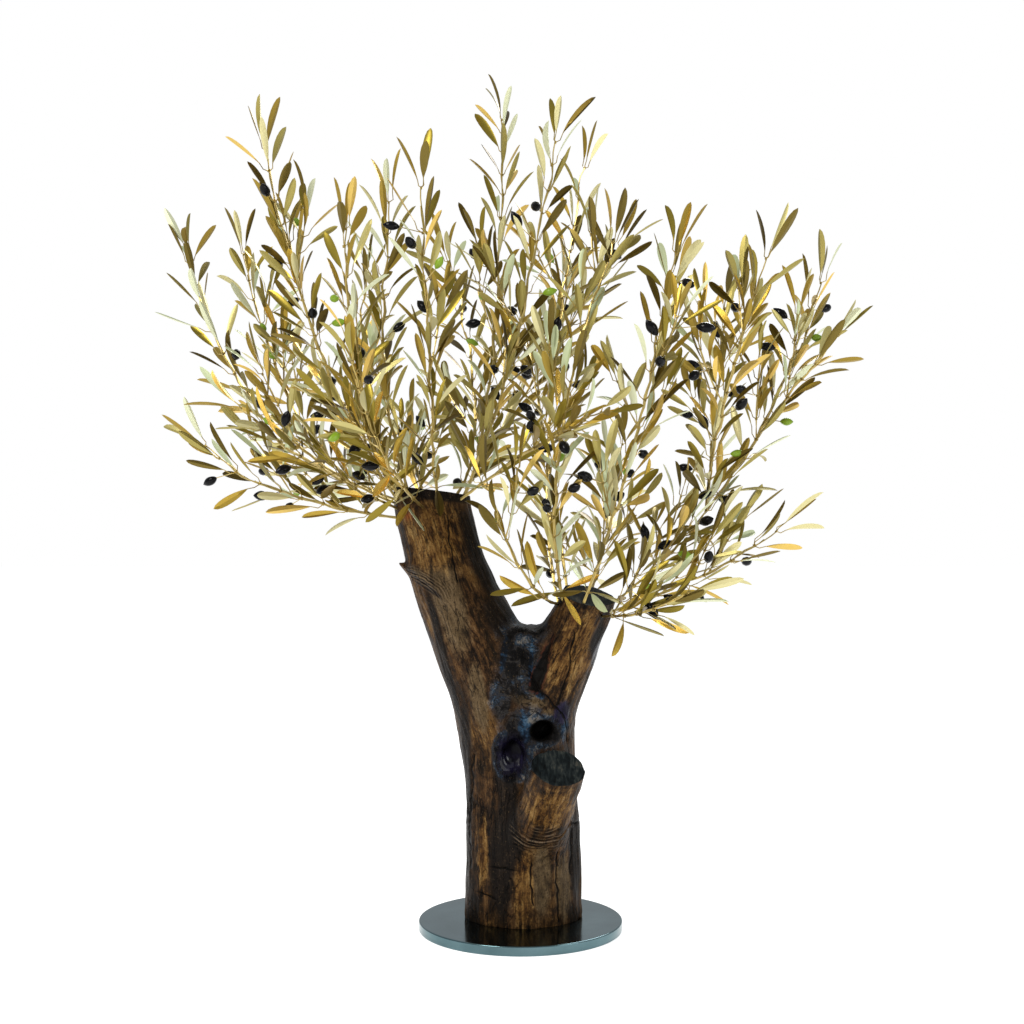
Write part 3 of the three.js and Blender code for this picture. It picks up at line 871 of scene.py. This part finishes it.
def near_spot(points, spot, size):
    """1 at a spot, falling smoothly to 0 over its size."""
    gap = np.linalg.norm((points - np.array(spot)) / np.array(size), axis=1)
    return np.exp(-gap ** 2)


def stub_folds(points, outward):
    """Where the trunk folds under the stub, and how far out across the folds each point lies."""
    from_stub = np.linalg.norm(points[:, [0, 2]] - np.array((0.032, 0.212)), axis=1)
    region = smoothstep(0.034, 0.048, from_stub) * smoothstep(0.092, 0.072, from_stub)
    region *= side_of(outward, "front") * smoothstep(0.180, 0.160, points[:, 2])
    region *= smoothstep(-0.028, 0.0, points[:, 0]) * smoothstep(0.066, 0.050, points[:, 0])
    region *= smoothstep(-0.25, 0.35, fractal(points, 34, 2, 31) + 0.1)
    return region, from_stub + 0.0055 * fractal(points, 22, 2, 5)


def spur_folds(points, outward):
    """Where the wood curls below the spur, and how far out across its folds each point lies."""
    region = side_of(outward, "front") * smoothstep(0.0, 0.8, near_line(points, *CURL, 0.017))
    region *= 0.45 + 0.50 * smoothstep(-0.3, 0.4, fractal(points, 50, 2, 31))
    out = np.linalg.norm(points[:, [0, 2]] - np.array(CURL_CENTRE), axis=1)
    return region, CURL_FINENESS * (out + 0.0030 * fractal(points, 45, 2, 6))


def hollow_shares(points):
    """How far out from each hollow's middle a point lies in the front view, the rim being at 1."""
    shares = []
    for spot, size in HOLLOWS.values():
        gap = (points[:, [0, 2]] - np.array(spot)[[0, 2]]) / np.array(size)
        shares.append(np.linalg.norm(gap, axis=1) + 9 * smoothstep(-0.02, 0.0, points[:, 1]))
    return shares


def carve(wood, stem_holes):
    """Gives the wood its flutes, knots, cracks and folds, and marks the painted zones."""
    mesh = wood.data
    points = positions(mesh)
    outward = normals(mesh)
    grain = grain_of(points)
    front = side_of(outward, "front")

    push = SWELLING * fractal(points, 10, 2, 1)
    push += FLUTES * fractal(grain, 40, 3, 2)
    push += FIBRES * fractal(grain, 150, 2, 3)
    crack = crack_distance(points, outward)
    push -= CRACK_DEPTH * np.clip(1 - np.abs(crack) / 0.0034, 0, 1)
    slot = near_line(points, *SLOT, 0.012)
    slot += 0.22 * smoothstep(0.0, 0.25, slot) * fractal(points, 70, 3, 41)
    slot = front * np.clip(slot - 0.55 * smoothstep(0.385, 0.437, points[:, 2]), 0, 1)
    push -= SLOT_DEPTH * smoothstep(0.0, 0.9, slot)
    folds, fold_run = stub_folds(points, outward)
    curl, curl_run = spur_folds(points, outward)
    fold_run = np.where(curl > folds, curl_run, fold_run)
    folds = np.maximum(folds, curl)
    push += FOLD_HEIGHT * folds * np.sin(fold_run * 2 * math.pi / FOLD_WAVE)
    round_share, oval_share = hollow_shares(points)
    push -= HOLLOW_DEPTHS[0] * smoothstep(0.9, 0.3, round_share)
    push -= HOLLOW_DEPTHS[1] * smoothstep(1.0, 0.3, oval_share)
    push += HOLLOW_RIMS[0] * np.exp(-((round_share - 1.45) / 0.35) ** 2) * front
    push += HOLLOW_RIMS[1] * np.exp(-((oval_share - 1.35) / 0.30) ** 2) * front
    push += RESIN_LIFT * near_spot(points, *RESIN)
    for start, end, width, lift in RIDGES:
        push += lift * smoothstep(0, 1, near_line(points, start, end, width)) * front
    for spot, size, lift in KNOTS:
        near = near_spot(points, spot, size)
        ripple = np.sin(np.linalg.norm(points - np.array(spot), axis=1) * 2 * math.pi / 0.010)
        push += lift * near + KNOT_RINGS * near * ripple
    moved = points + outward * (push * MM)[:, None]

    level = np.abs(points[:, 2] - SPUR["height"]) < 0.003
    root = points[np.flatnonzero(level)[np.argmin(points[level, 0])]]
    near_spur = near_spot(points, root + np.array(SPUR["shift"]), SPUR["size"])
    moved += near_spur[:, None] * np.array(SPUR["pull"]) * MM

    floor_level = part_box("trunk")[0][2]
    low = moved[:, 2] < floor_level + 0.0025
    moved[low, 2] = floor_level

    marks = {name: zone_share(points, outward, name) for name in ZONES}
    marks["stain_and_glint"] = np.maximum(marks["stain_and_glint"], smoothstep(1.9, 1.2, np.minimum(round_share, oval_share)))
    # The dark mark is painted shade: near black inside the round hollow, in the deep part of the oval
    # hollow, along the slot and round each stem hole.
    oval_deep = smoothstep(0.95, 0.5, oval_share + 0.35 * (points[:, 2] < HOLLOWS["oval"][0][2]))
    marks["dark"] = np.maximum(smoothstep(1.20, 0.98, round_share), 0.60 * oval_deep)
    marks["dark"] = np.maximum(marks["dark"], 0.96 * smoothstep(0.20, 0.36, slot))
    for hole in stem_holes:
        near_hole = smoothstep(0.009, 0.004, np.linalg.norm(moved - hole, axis=1))
        marks["dark"] = np.maximum(marks["dark"], near_hole)
    rust = sum(near_spot(points, spot, RUST_SIZE) for spot in RUST_SPOTS)
    marks["rust"] = 0.85 * np.minimum(1, rust)
    marks.update(crack=crack, folds=folds, fold_run=fold_run, slot=slot)

    mesh.vertices.foreach_set("co", moved.astype(np.float32).ravel())
    for name, values in marks.items():
        mesh.attributes.new(name, "FLOAT", "POINT").data.foreach_set("value", values.astype(np.float32))
    mesh.attributes.new("grain", "FLOAT_VECTOR", "POINT").data.foreach_set(
        "vector", grain.astype(np.float32).ravel())
    mesh.update()


def saw_off(wood, name, facing):
    """Saws one limb off square to a direction, at its solid's own end, and closes the cut."""
    facing = unit(facing)
    solid = node_points(name)
    level = (solid @ facing).max()
    end = solid[solid @ facing > level - 0.0005]
    middle = (end.min(0) + end.max(0)) / 2
    reach = np.linalg.norm(end - middle, axis=1).max() * 1.35
    make_active(wood)
    bpy.ops.object.mode_set(mode="EDIT")
    bpy.ops.mesh.select_all(action="DESELECT")
    bpy.ops.object.mode_set(mode="OBJECT")
    points = positions(wood.data)
    near = (np.linalg.norm(points - middle, axis=1) < reach) & (points @ facing > level - 0.02)
    for face in wood.data.polygons:
        face.select = all(near[corner] for corner in face.vertices)
    bpy.ops.object.mode_set(mode="EDIT")
    bpy.ops.mesh.bisect(plane_co=facing * level, plane_no=facing, use_fill=True, clear_outer=True)
    bpy.ops.object.mode_set(mode="OBJECT")
    for face in wood.data.polygons:
        flat = np.dot(face.normal, facing) > 0.9995
        if flat and abs(np.dot(face.center, facing) - level) < 1e-5:
            face.material_index = 1


def carved_wood(stem_holes):
    """The whole wood as one piece: stained flanks, sawn ends and the drop of resin."""
    wood = wood_blank()
    carve(wood, stem_holes)
    wood.data.materials.clear()
    wood.data.materials.append(stained_wood_material())
    wood.data.materials.append(end_grain_material())
    wood.data.materials.append(resin_material())
    for name, facing in SAWN_ENDS.items():
        saw_off(wood, name, facing)
    spot, size = (np.array(part) for part in RESIN)
    for face in wood.data.polygons:
        if np.linalg.norm((np.array(face.center) - spot) / size) < 1.15:
            face.material_index = 2
    make_active(wood)
    bpy.ops.object.shade_smooth_by_angle(angle=math.radians(45))
    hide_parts("trunk", "arm_left", "arm_right", "side_stub")
    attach(wood, "root")
    return wood


# ---- Many small things as joined meshes ------------------------------------------------------------

class Batch:
    """Gathers many small closed shapes and joins them into one piece."""

    def __init__(self):
        self.points = []
        self.faces = []
        self.count = 0
        self.coats = []

    def add(self, points, faces, coats=None):
        self.points.append(points)
        self.faces.extend([tuple(index + self.count for index in face) for face in faces])
        self.coats.extend(coats or [0] * len(faces))
        self.count += len(points)

    def piece(self, name, materials, slot):
        mesh = bpy.data.meshes.new(name)
        mesh.from_pydata(np.concatenate(self.points).tolist(), [], self.faces)
        for material in materials:
            mesh.materials.append(material)
        mesh.polygons.foreach_set("material_index", np.array(self.coats, np.int32))
        piece = bpy.data.objects.new(name, mesh)
        bpy.context.scene.collection.objects.link(piece)
        make_active(piece)
        bpy.ops.object.shade_smooth_by_angle(angle=math.radians(48))
        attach(piece, "root")
        return piece


TUBE_FACES = {}


def tube_faces(steps, sides):
    """Faces of a closed tube, rings of points first to last."""
    if (steps, sides) not in TUBE_FACES:
        faces = [tuple(reversed(range(sides)))]
        for step in range(steps - 1):
            for side in range(sides):
                low = step * sides
                following = (side + 1) % sides
                faces.append((low + side, low + following, low + sides + following, low + sides + side))
        faces.append(tuple(range((steps - 1) * sides, steps * sides)))
        TUBE_FACES[steps, sides] = faces
    return TUBE_FACES[steps, sides]


def cross_frame(path):
    """Two directions square to a path at each of its points, without needless twist."""
    tangent = unit(np.gradient(path, axis=0))
    run = unit(path[-1] - path[0])
    helper = np.eye(3)[np.argmin(np.abs(run))]
    first = unit(helper - (tangent @ helper)[:, None] * tangent)
    return first, np.cross(tangent, first)


def tube(batch, path, radii, sides):
    """Adds a closed tube along a path, with one radius or a radius for each of its points."""
    path = np.asarray(path, float)
    first, second = cross_frame(path)
    angles = np.arange(sides) * 2 * math.pi / sides
    radii = np.broadcast_to(np.asarray(radii, float), (len(path),))[:, None, None]
    rings = path[:, None] + radii * (
        np.cos(angles)[None, :, None] * first[:, None] + np.sin(angles)[None, :, None] * second[:, None])
    batch.add(rings.reshape(-1, 3), tube_faces(len(path), sides))


# ---- Leaves ----------------------------------------------------------------------------------------

LEAF_STATIONS = np.array((0, 0.08, 0.20, 0.35, 0.52, 0.68, 0.82, 0.93, 1))
# Points round a leaf's section: one rim, the top of the midrib, the other rim, the underside of the midrib.
SECTION_ACROSS = np.array((-1, 0, 1, 0))
SECTION_LEVEL = np.array((0, 1, 0, -1))


def leaf_widths():
    """Half widths of a leaf from foot to tip, as shares of its greatest half width: a narrow foot,
    widest past the middle, and a rounded tip."""
    widths = LEAF_STATIONS ** 0.85 * (1 - LEAF_STATIONS) ** 0.54
    widths /= widths.max()
    widths[0] = 0.09
    widths[-1] = 0.07
    return widths


def leaf_faces():
    """Faces of a leaf, and which of them are on its underside."""
    faces = []
    under = []
    for station in range(len(LEAF_STATIONS) - 1):
        low = station * 4
        for place in range(4):
            following = (place + 1) % 4
            faces.append((low + following, low + place, low + 4 + place, low + 4 + following))
            under.append(place > 1)
    last = (len(LEAF_STATIONS) - 1) * 4
    faces.append((0, 1, 2, 3))
    faces.append((last + 3, last + 2, last + 1, last))
    return faces, under + [False, False]


LEAF_FACES, LEAF_UNDER = leaf_faces()
LEAF_WIDTHS = leaf_widths()


def leaf_points(leaf):
    """One leaf's points: lens-shaped in section with a creased midrib, arched and a little twisted."""
    half = leaf["width"] / 2 * LEAF_WIDTHS
    bend = leaf["bend"] if abs(leaf["bend"]) > 1e-3 else 1e-3
    forward = leaf["length"] * np.sin(bend * LEAF_STATIONS) / bend
    lift = leaf["length"] * (1 - np.cos(bend * LEAF_STATIONS)) / bend
    thick = LEAF_THICKNESS * MM / 2 * (0.4 + 0.6 * LEAF_WIDTHS)
    turn = leaf["twist"] * (LEAF_STATIONS - 0.3)
    across = half[:, None] * SECTION_ACROSS
    up = half[:, None] * np.abs(SECTION_ACROSS) * leaf["fold"] + thick[:, None] * SECTION_LEVEL
    y = across * np.cos(turn)[:, None] - up * np.sin(turn)[:, None]
    z = across * np.sin(turn)[:, None] + up * np.cos(turn)[:, None]
    ahead = forward[:, None] - z * np.sin(bend * LEAF_STATIONS)[:, None]
    above = lift[:, None] + z * np.cos(bend * LEAF_STATIONS)[:, None]
    heading, top = leaf["heading"], leaf["top"]
    right = np.cross(top, heading)
    points = leaf["root"] + ahead[..., None] * heading + y[..., None] * right + above[..., None] * top
    return points.reshape(-1, 3)


# ---- Olives ----------------------------------------------------------------------------------------

OLIVE_RINGS = 9
OLIVE_SIDES = 10


def add_olive(batch, root, heading, scale):
    """A plump olive with a small pointed tip, hung by its foot from its stalk."""
    along = np.linspace(0, 1, OLIVE_RINGS)
    radius = np.sin(math.pi * (0.035 + 0.93 * along)) ** 0.72 * (1 - 0.4 * along ** 6)
    radius[0] = 0.16
    radius[-1] = 0.07
    path = root + np.outer(along * OLIVE_LENGTH * MM * scale, heading)
    tube(batch, path, radius * OLIVE_WIDTH / 2 * MM * scale, OLIVE_SIDES)


# ---- Growing the sprays ----------------------------------------------------------------------------

class SprayPath:
    """The curve that a spray's solid follows, in metres."""

    def __init__(self, name, start=None):
        heading, reach, rise, bow, sway, *self.twigs = SPRAYS[name]
        angle = math.radians(heading)
        self.along = np.array((math.cos(angle), math.sin(angle), 0))
        self.side = np.array((-math.sin(angle), math.cos(angle), 0))
        self.reach, self.rise, self.bow, self.sway = reach * MM, rise * MM, bow, sway * MM
        self.span = math.hypot(reach, rise) * MM
        self.start = np.zeros(3)
        self.start = self.start_from_stem(name) if start is None else start

    def at(self, share):
        share = np.asarray(share, float)[..., None]
        out = (1 + self.bow) * share - self.bow * share ** 2
        up = (1 - self.bow) * share + self.bow * share ** 2
        return (self.start + self.reach * out * self.along + self.sway * 4 * share * (1 - share) * self.side
                + self.rise * up * np.array((0, 0, 1.0)))

    def start_from_stem(self, name):
        """The stem solid's far end lies on the curve, so it tells where the curve starts."""
        share = BARE * MM / self.span
        tangent = unit(self.at(share + 0.001) - self.at(share - 0.001))
        points = np.unique(np.round(node_points(f"stem_{name}"), 6), axis=0)
        ahead = points @ tangent
        end = points[ahead > ahead.max() - 0.0006]
        return end.mean(0) - self.at(share)


class Grower:
    """Grows wires, leaves and olives by one seeded rule."""

    def __init__(self):
        self.dice = random.Random(SEED)
        self.wires = Batch()
        self.leaves = {look: [] for look in LEAF_TONES_AND_PAINTED_LIGHT}
        self.black_olives = Batch()
        self.green_olives = Batch()
        self.holes = []

    def between(self, limits):
        return self.dice.uniform(*limits)

    def around(self, tangent, angle):
        """A direction square to a tangent, at an angle round it."""
        helper = np.array((0, 0, 1.0)) if abs(tangent[2]) < 0.9 else np.array((1.0, 0, 0))
        first = unit(helper - tangent * (tangent @ helper))
        second = np.cross(tangent, first)
        return math.cos(angle) * first + math.sin(angle) * second

    def leaf(self, root, tangent, spread, angle, stalk, size=1.0):
        """One leaf on its wire stalk, standing off the stem by a spread angle in degrees."""
        outward = self.around(tangent, angle)
        lean = math.radians(spread)
        heading = math.cos(lean) * tangent + math.sin(lean) * outward
        heading[2] += self.dice.uniform(-0.05, 0.10)
        heading = unit(heading)
        length = self.between(LEAF_LENGTH) * MM * size
        if not in_reach(root + heading * (length + stalk * MM)):
            return
        turn = stalk * MM * 0.45
        foot = root + turn * unit(tangent + 0.6 * outward) + (stalk * MM - turn) * heading
        path = np.array([root, root + turn * unit(tangent * 0.7 + outward), foot, foot + heading * 0.004])
        tube(self.wires, path, np.array((1, 1, 0.9, 0.55)) * STALK_WIRE * MM, 4)
        facing = unit(tangent - heading * (tangent @ heading) + 1e-6 * outward)
        roll = self.dice.gauss(0, 0.75)
        side = np.cross(heading, facing)
        top = math.cos(roll) * facing + math.sin(roll) * side
        # Deals out leaf tones, lit and shaded copies of the brass among them.
        look = self.dice.choices(list(LEAF_TONES_AND_PAINTED_LIGHT), [share for *_, share in LEAF_TONES_AND_PAINTED_LIGHT.values()])[0]
        self.leaves[look].append({
            "root": foot,
            "heading": heading,
            "top": top,
            "length": length,
            "width": self.between(LEAF_WIDTH) * MM * math.sqrt(size),
            "bend": self.dice.gauss(-0.08, 0.16),
            "twist": self.dice.gauss(0, 0.16),
            "fold": self.dice.uniform(0.25, 0.8),
        })

    def olive(self, root, tangent, angle):
        """One olive on a longer stalk, hanging or standing a little."""
        outward = self.around(tangent, angle)
        lean = math.radians(self.dice.uniform(45, 85))
        heading = unit(math.cos(lean) * tangent + math.sin(lean) * outward)
        stalk = self.between(OLIVE_STALK) * MM
        foot = root + stalk * heading
        droop = unit(heading + np.array((0, 0, self.dice.uniform(-0.7, 0.5))))
        tube(self.wires, np.array([root, root + 0.5 * stalk * heading, foot, foot + 0.003 * droop]),
             np.array((1, 1, 1, 1.9)) * STALK_WIRE * MM, 5)
        green = self.dice.random() < GREEN_CHANCE
        batch = self.green_olives if green else self.black_olives
        add_olive(batch, foot, droop, self.between(GREEN_SCALES if green else BLACK_SCALES))

    def wrap(self, centre, tangent, radius):
        """A few turns of thin wire round a bundle, where leaf stalks leave it."""
        turns = 2.5
        count = 16
        angles = np.linspace(0, turns * 2 * math.pi, count) + self.dice.uniform(0, 6)
        first = self.around(tangent, 0)
        second = np.cross(tangent, first)
        rise = np.linspace(-0.5, 0.5, count) * turns * 2 * WRAP_WIRE * MM
        radius = radius + WRAP_WIRE * MM * 0.8
        ring = np.cos(angles)[:, None] * first + np.sin(angles)[:, None] * second
        tube(self.wires, centre + radius * ring + rise[:, None] * tangent, WRAP_WIRE * MM, 4)

    def whorl(self, centre, tangent, bundle, spread, size=1.0):
        """A ring of leaves on stalks, with now and then an olive among them."""
        self.wrap(centre, tangent, bundle)
        turn = self.dice.uniform(0, 2 * math.pi)
        for place in range(WHORL_LEAVES):
            angle = turn + place * 2 * math.pi / WHORL_LEAVES + self.dice.gauss(0, 0.25)
            if self.dice.random() < MISSING_LEAF:
                continue
            self.leaf(centre + self.around(tangent, angle) * bundle, tangent,
                      self.dice.gauss(spread, 9), angle, self.between(LEAF_STALK), size)
        if self.dice.random() < OLIVE_CHANCE:
            self.olive(centre, tangent, self.dice.uniform(0, 2 * math.pi))

    def tip(self, centre, tangent, size=1.0):
        """The last leaves of a stem point onwards."""
        self.wrap(centre, tangent, TWIG_WIRE * MM)
        turn = self.dice.uniform(0, 2 * math.pi)
        for place in range(3):
            angle = turn + place * 2 * math.pi / 3
            spread = 6 if place == 0 else self.dice.uniform(15, 30)
            self.leaf(centre, tangent, spread, angle, self.dice.uniform(10, 20), size)

    def twig(self, root, tangent, angle, length):
        """A side twig: a pair of thin wires with smaller whorls of its own. It never heads down."""
        outward = self.around(tangent, angle)
        if outward[2] < -0.2:
            outward = -outward
        lean = math.radians(self.dice.uniform(30, 50))
        begin = unit(math.cos(lean) * tangent + math.sin(lean) * outward)
        lift = unit(begin + 0.5 * tangent + np.array((0, 0, 0.25)))
        shares = np.linspace(0, 1, 9)[:, None]
        while not in_reach(root + length * (0.5 * begin + 0.5 * lift)):
            length *= 0.85
        path = root + length * (shares * (1 - 0.5 * shares) * begin + 0.5 * shares ** 2 * lift)
        self.bundle(path, [length, length], TWIG_WIRE)
        place = self.between((24, 34)) * MM
        while place < length - 0.014:
            centre, ahead = point_on(path, place)
            self.whorl(centre, ahead, TWIG_WIRE * 1.5 * MM, TWIG_SPREAD, 0.9)
            place += self.between(TWIG_STEP) * MM
        self.tip(path[-1], unit(path[-1] - path[-2]), 0.92)

    def bundle(self, path, ends, wire):
        """Wires twisted round each other along a path. Each ends at its own length."""
        lengths = arc_lengths(path)
        first, second = cross_frame(path)
        count = len(ends)
        spread = wire * MM / math.sin(math.pi / count) if count > 1 else 0.0
        phase = self.dice.uniform(0, 6)
        for index, end in enumerate(ends):
            angle = phase + 2 * math.pi * (index / count + lengths / (TWIST_PITCH * MM))
            strand = path + spread * (np.cos(angle)[:, None] * first + np.sin(angle)[:, None] * second)
            keep = lengths <= end + 1e-6
            if keep.sum() > 2:
                tube(self.wires, strand[keep], wire * MM, 5)

    def spray(self, name, curve, bare):
        """One whole spray from its hole to its last leaves."""
        steps = max(12, int(curve.span / 0.011))
        path = curve.at(np.linspace(0, 1, steps))
        wobble = np.array([[noise.noise(Vector((index * 0.35, lane * 9.0, len(name) * 3.7)))
                            for lane in range(3)] for index in range(steps)])
        fade = smoothstep(0, 0.25, np.linspace(0, 1, steps))[:, None]
        path = path + wobble * fade * 0.006
        if bare:
            inwards = unit(path[0] - path[1])
            self.holes.append(path[0])
            path = np.vstack([path[0] + inwards * SUNK * MM, path])
        lengths = arc_lengths(path)
        whole = lengths[-1]
        sunk = SUNK * MM if bare else 0.0
        ends = [whole, whole, whole * 0.6]
        if whole > LONG_SPRAY:
            ends = [whole, whole - 0.02, whole * 0.75, whole * 0.5]
        self.bundle(path, ends, WIRE)
        place = sunk + (BARE * MM * self.dice.uniform(0.62, 0.9) if bare else 0.03)
        while place < whole - 0.018:
            centre, ahead = point_on(path, place)
            done = place / whole
            thick = WIRE * MM * (2.3 if done < 0.5 else 2.0 if done < 0.75 else 1.6)
            self.whorl(centre, ahead, thick, WHORL_SPREAD - SPREAD_LOSS * done)
            place += self.between(WHORL_STEP) * MM
        self.tip(path[-1], unit(path[-1] - path[-3]))
        count, lowest, highest = curve.twigs
        turn = self.dice.uniform(0, 2 * math.pi)
        for index in range(count):
            share = lowest + (highest - lowest) * (index + self.dice.uniform(0.1, 0.9)) / count
            centre, ahead = point_on(path, share * whole)
            reach = self.between(TWIG_REACH) * MM * (1.15 - 0.5 * share)
            self.twig(centre, ahead, turn + index * 2.4 + self.dice.gauss(0, 0.3), reach)
        if name in ROSETTES:
            centre, ahead = point_on(path, sunk + 0.018)
            for index in range(4):
                self.leaf(centre, ahead, self.dice.uniform(84, 112), turn + index * math.pi / 2, 12, 0.95)


def in_reach(point):
    """Whether a point lies in the solids' box or just outside it."""
    low, high = CAD_BOX
    return all(low[lane] - OVERHANG < point[lane] < high[lane] + OVERHANG for lane in range(3))


def arc_lengths(path):
    """How far along a path each of its points lies."""
    steps = np.linalg.norm(np.diff(path, axis=0), axis=1)
    return np.concatenate([[0], np.cumsum(steps)])


def point_on(path, length):
    """The point and the direction at a length along a path."""
    lengths = arc_lengths(path)
    point = np.array([np.interp(length, lengths, path[:, lane]) for lane in range(3)])
    index = int(np.clip(np.searchsorted(lengths, length), 1, len(path) - 1))
    return point, unit(path[index] - path[index - 1])


def grow_sprays():
    """Grows every spray, the forks from the ends of the sprays that bear them."""
    grower = Grower()
    curves = {}
    for name in SPRAYS:
        if name in FORKS:
            parent, share = FORKS[name]
            curves[name] = SprayPath(name, curves[parent].at(share))
        else:
            curves[name] = SprayPath(name)
        grower.spray(name, curves[name], bare=name not in FORKS)
    return grower


def spray_pieces(grower):
    """Makes the grown things into pieces. The wires stand for the stems, the leaves for the masses."""
    wires = grower.wires.piece("brass_wires", [plain_material("brass wire", (0.46, 0.35, 0.12), 0.9, 0.30)],
                               "brass_wire")
    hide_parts(*[name for name in NODES if name.startswith("stem_")])
    masses = [name for name in NODES if name.startswith("foliage_")]
    for look, (upper, under, metal, rough, _) in LEAF_TONES_AND_PAINTED_LIGHT.items():
        batch = Batch()
        for leaf in grower.leaves[look]:
            batch.add(leaf_points(leaf), LEAF_FACES, LEAF_UNDER)
        label = look.replace("_", " ")
        coats = [plain_material(f"{label} upper side", upper, metal, rough),
                 plain_material(f"{label} underside", under, metal, rough + 0.06)]
        piece = batch.piece(f"leaves_{look}", coats, "brass_leaves")
        if masses:
            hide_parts(*masses)
            masses = []
    lacquer_black = plain_material("black olive lacquer", (0.0025, 0.0024, 0.0032), 0.0, 0.16, 0.14)
    grower.black_olives.piece("black_olives", [lacquer_black], "brass_leaves")
    lacquer_green = plain_material("green olive lacquer", (0.190, 0.300, 0.016), 0.0, 0.30)
    grower.green_olives.piece("green_olives", [lacquer_green], "brass_leaves")


# ---- The whole tree --------------------------------------------------------------------------------

bpy.context.scene.view_settings.view_transform = "Standard"
camera()
soft_world()
lights()
pale_floor()
steel_plate()
GROWN = grow_sprays()
carved_wood(GROWN.holes)
spray_pieces(GROWN)
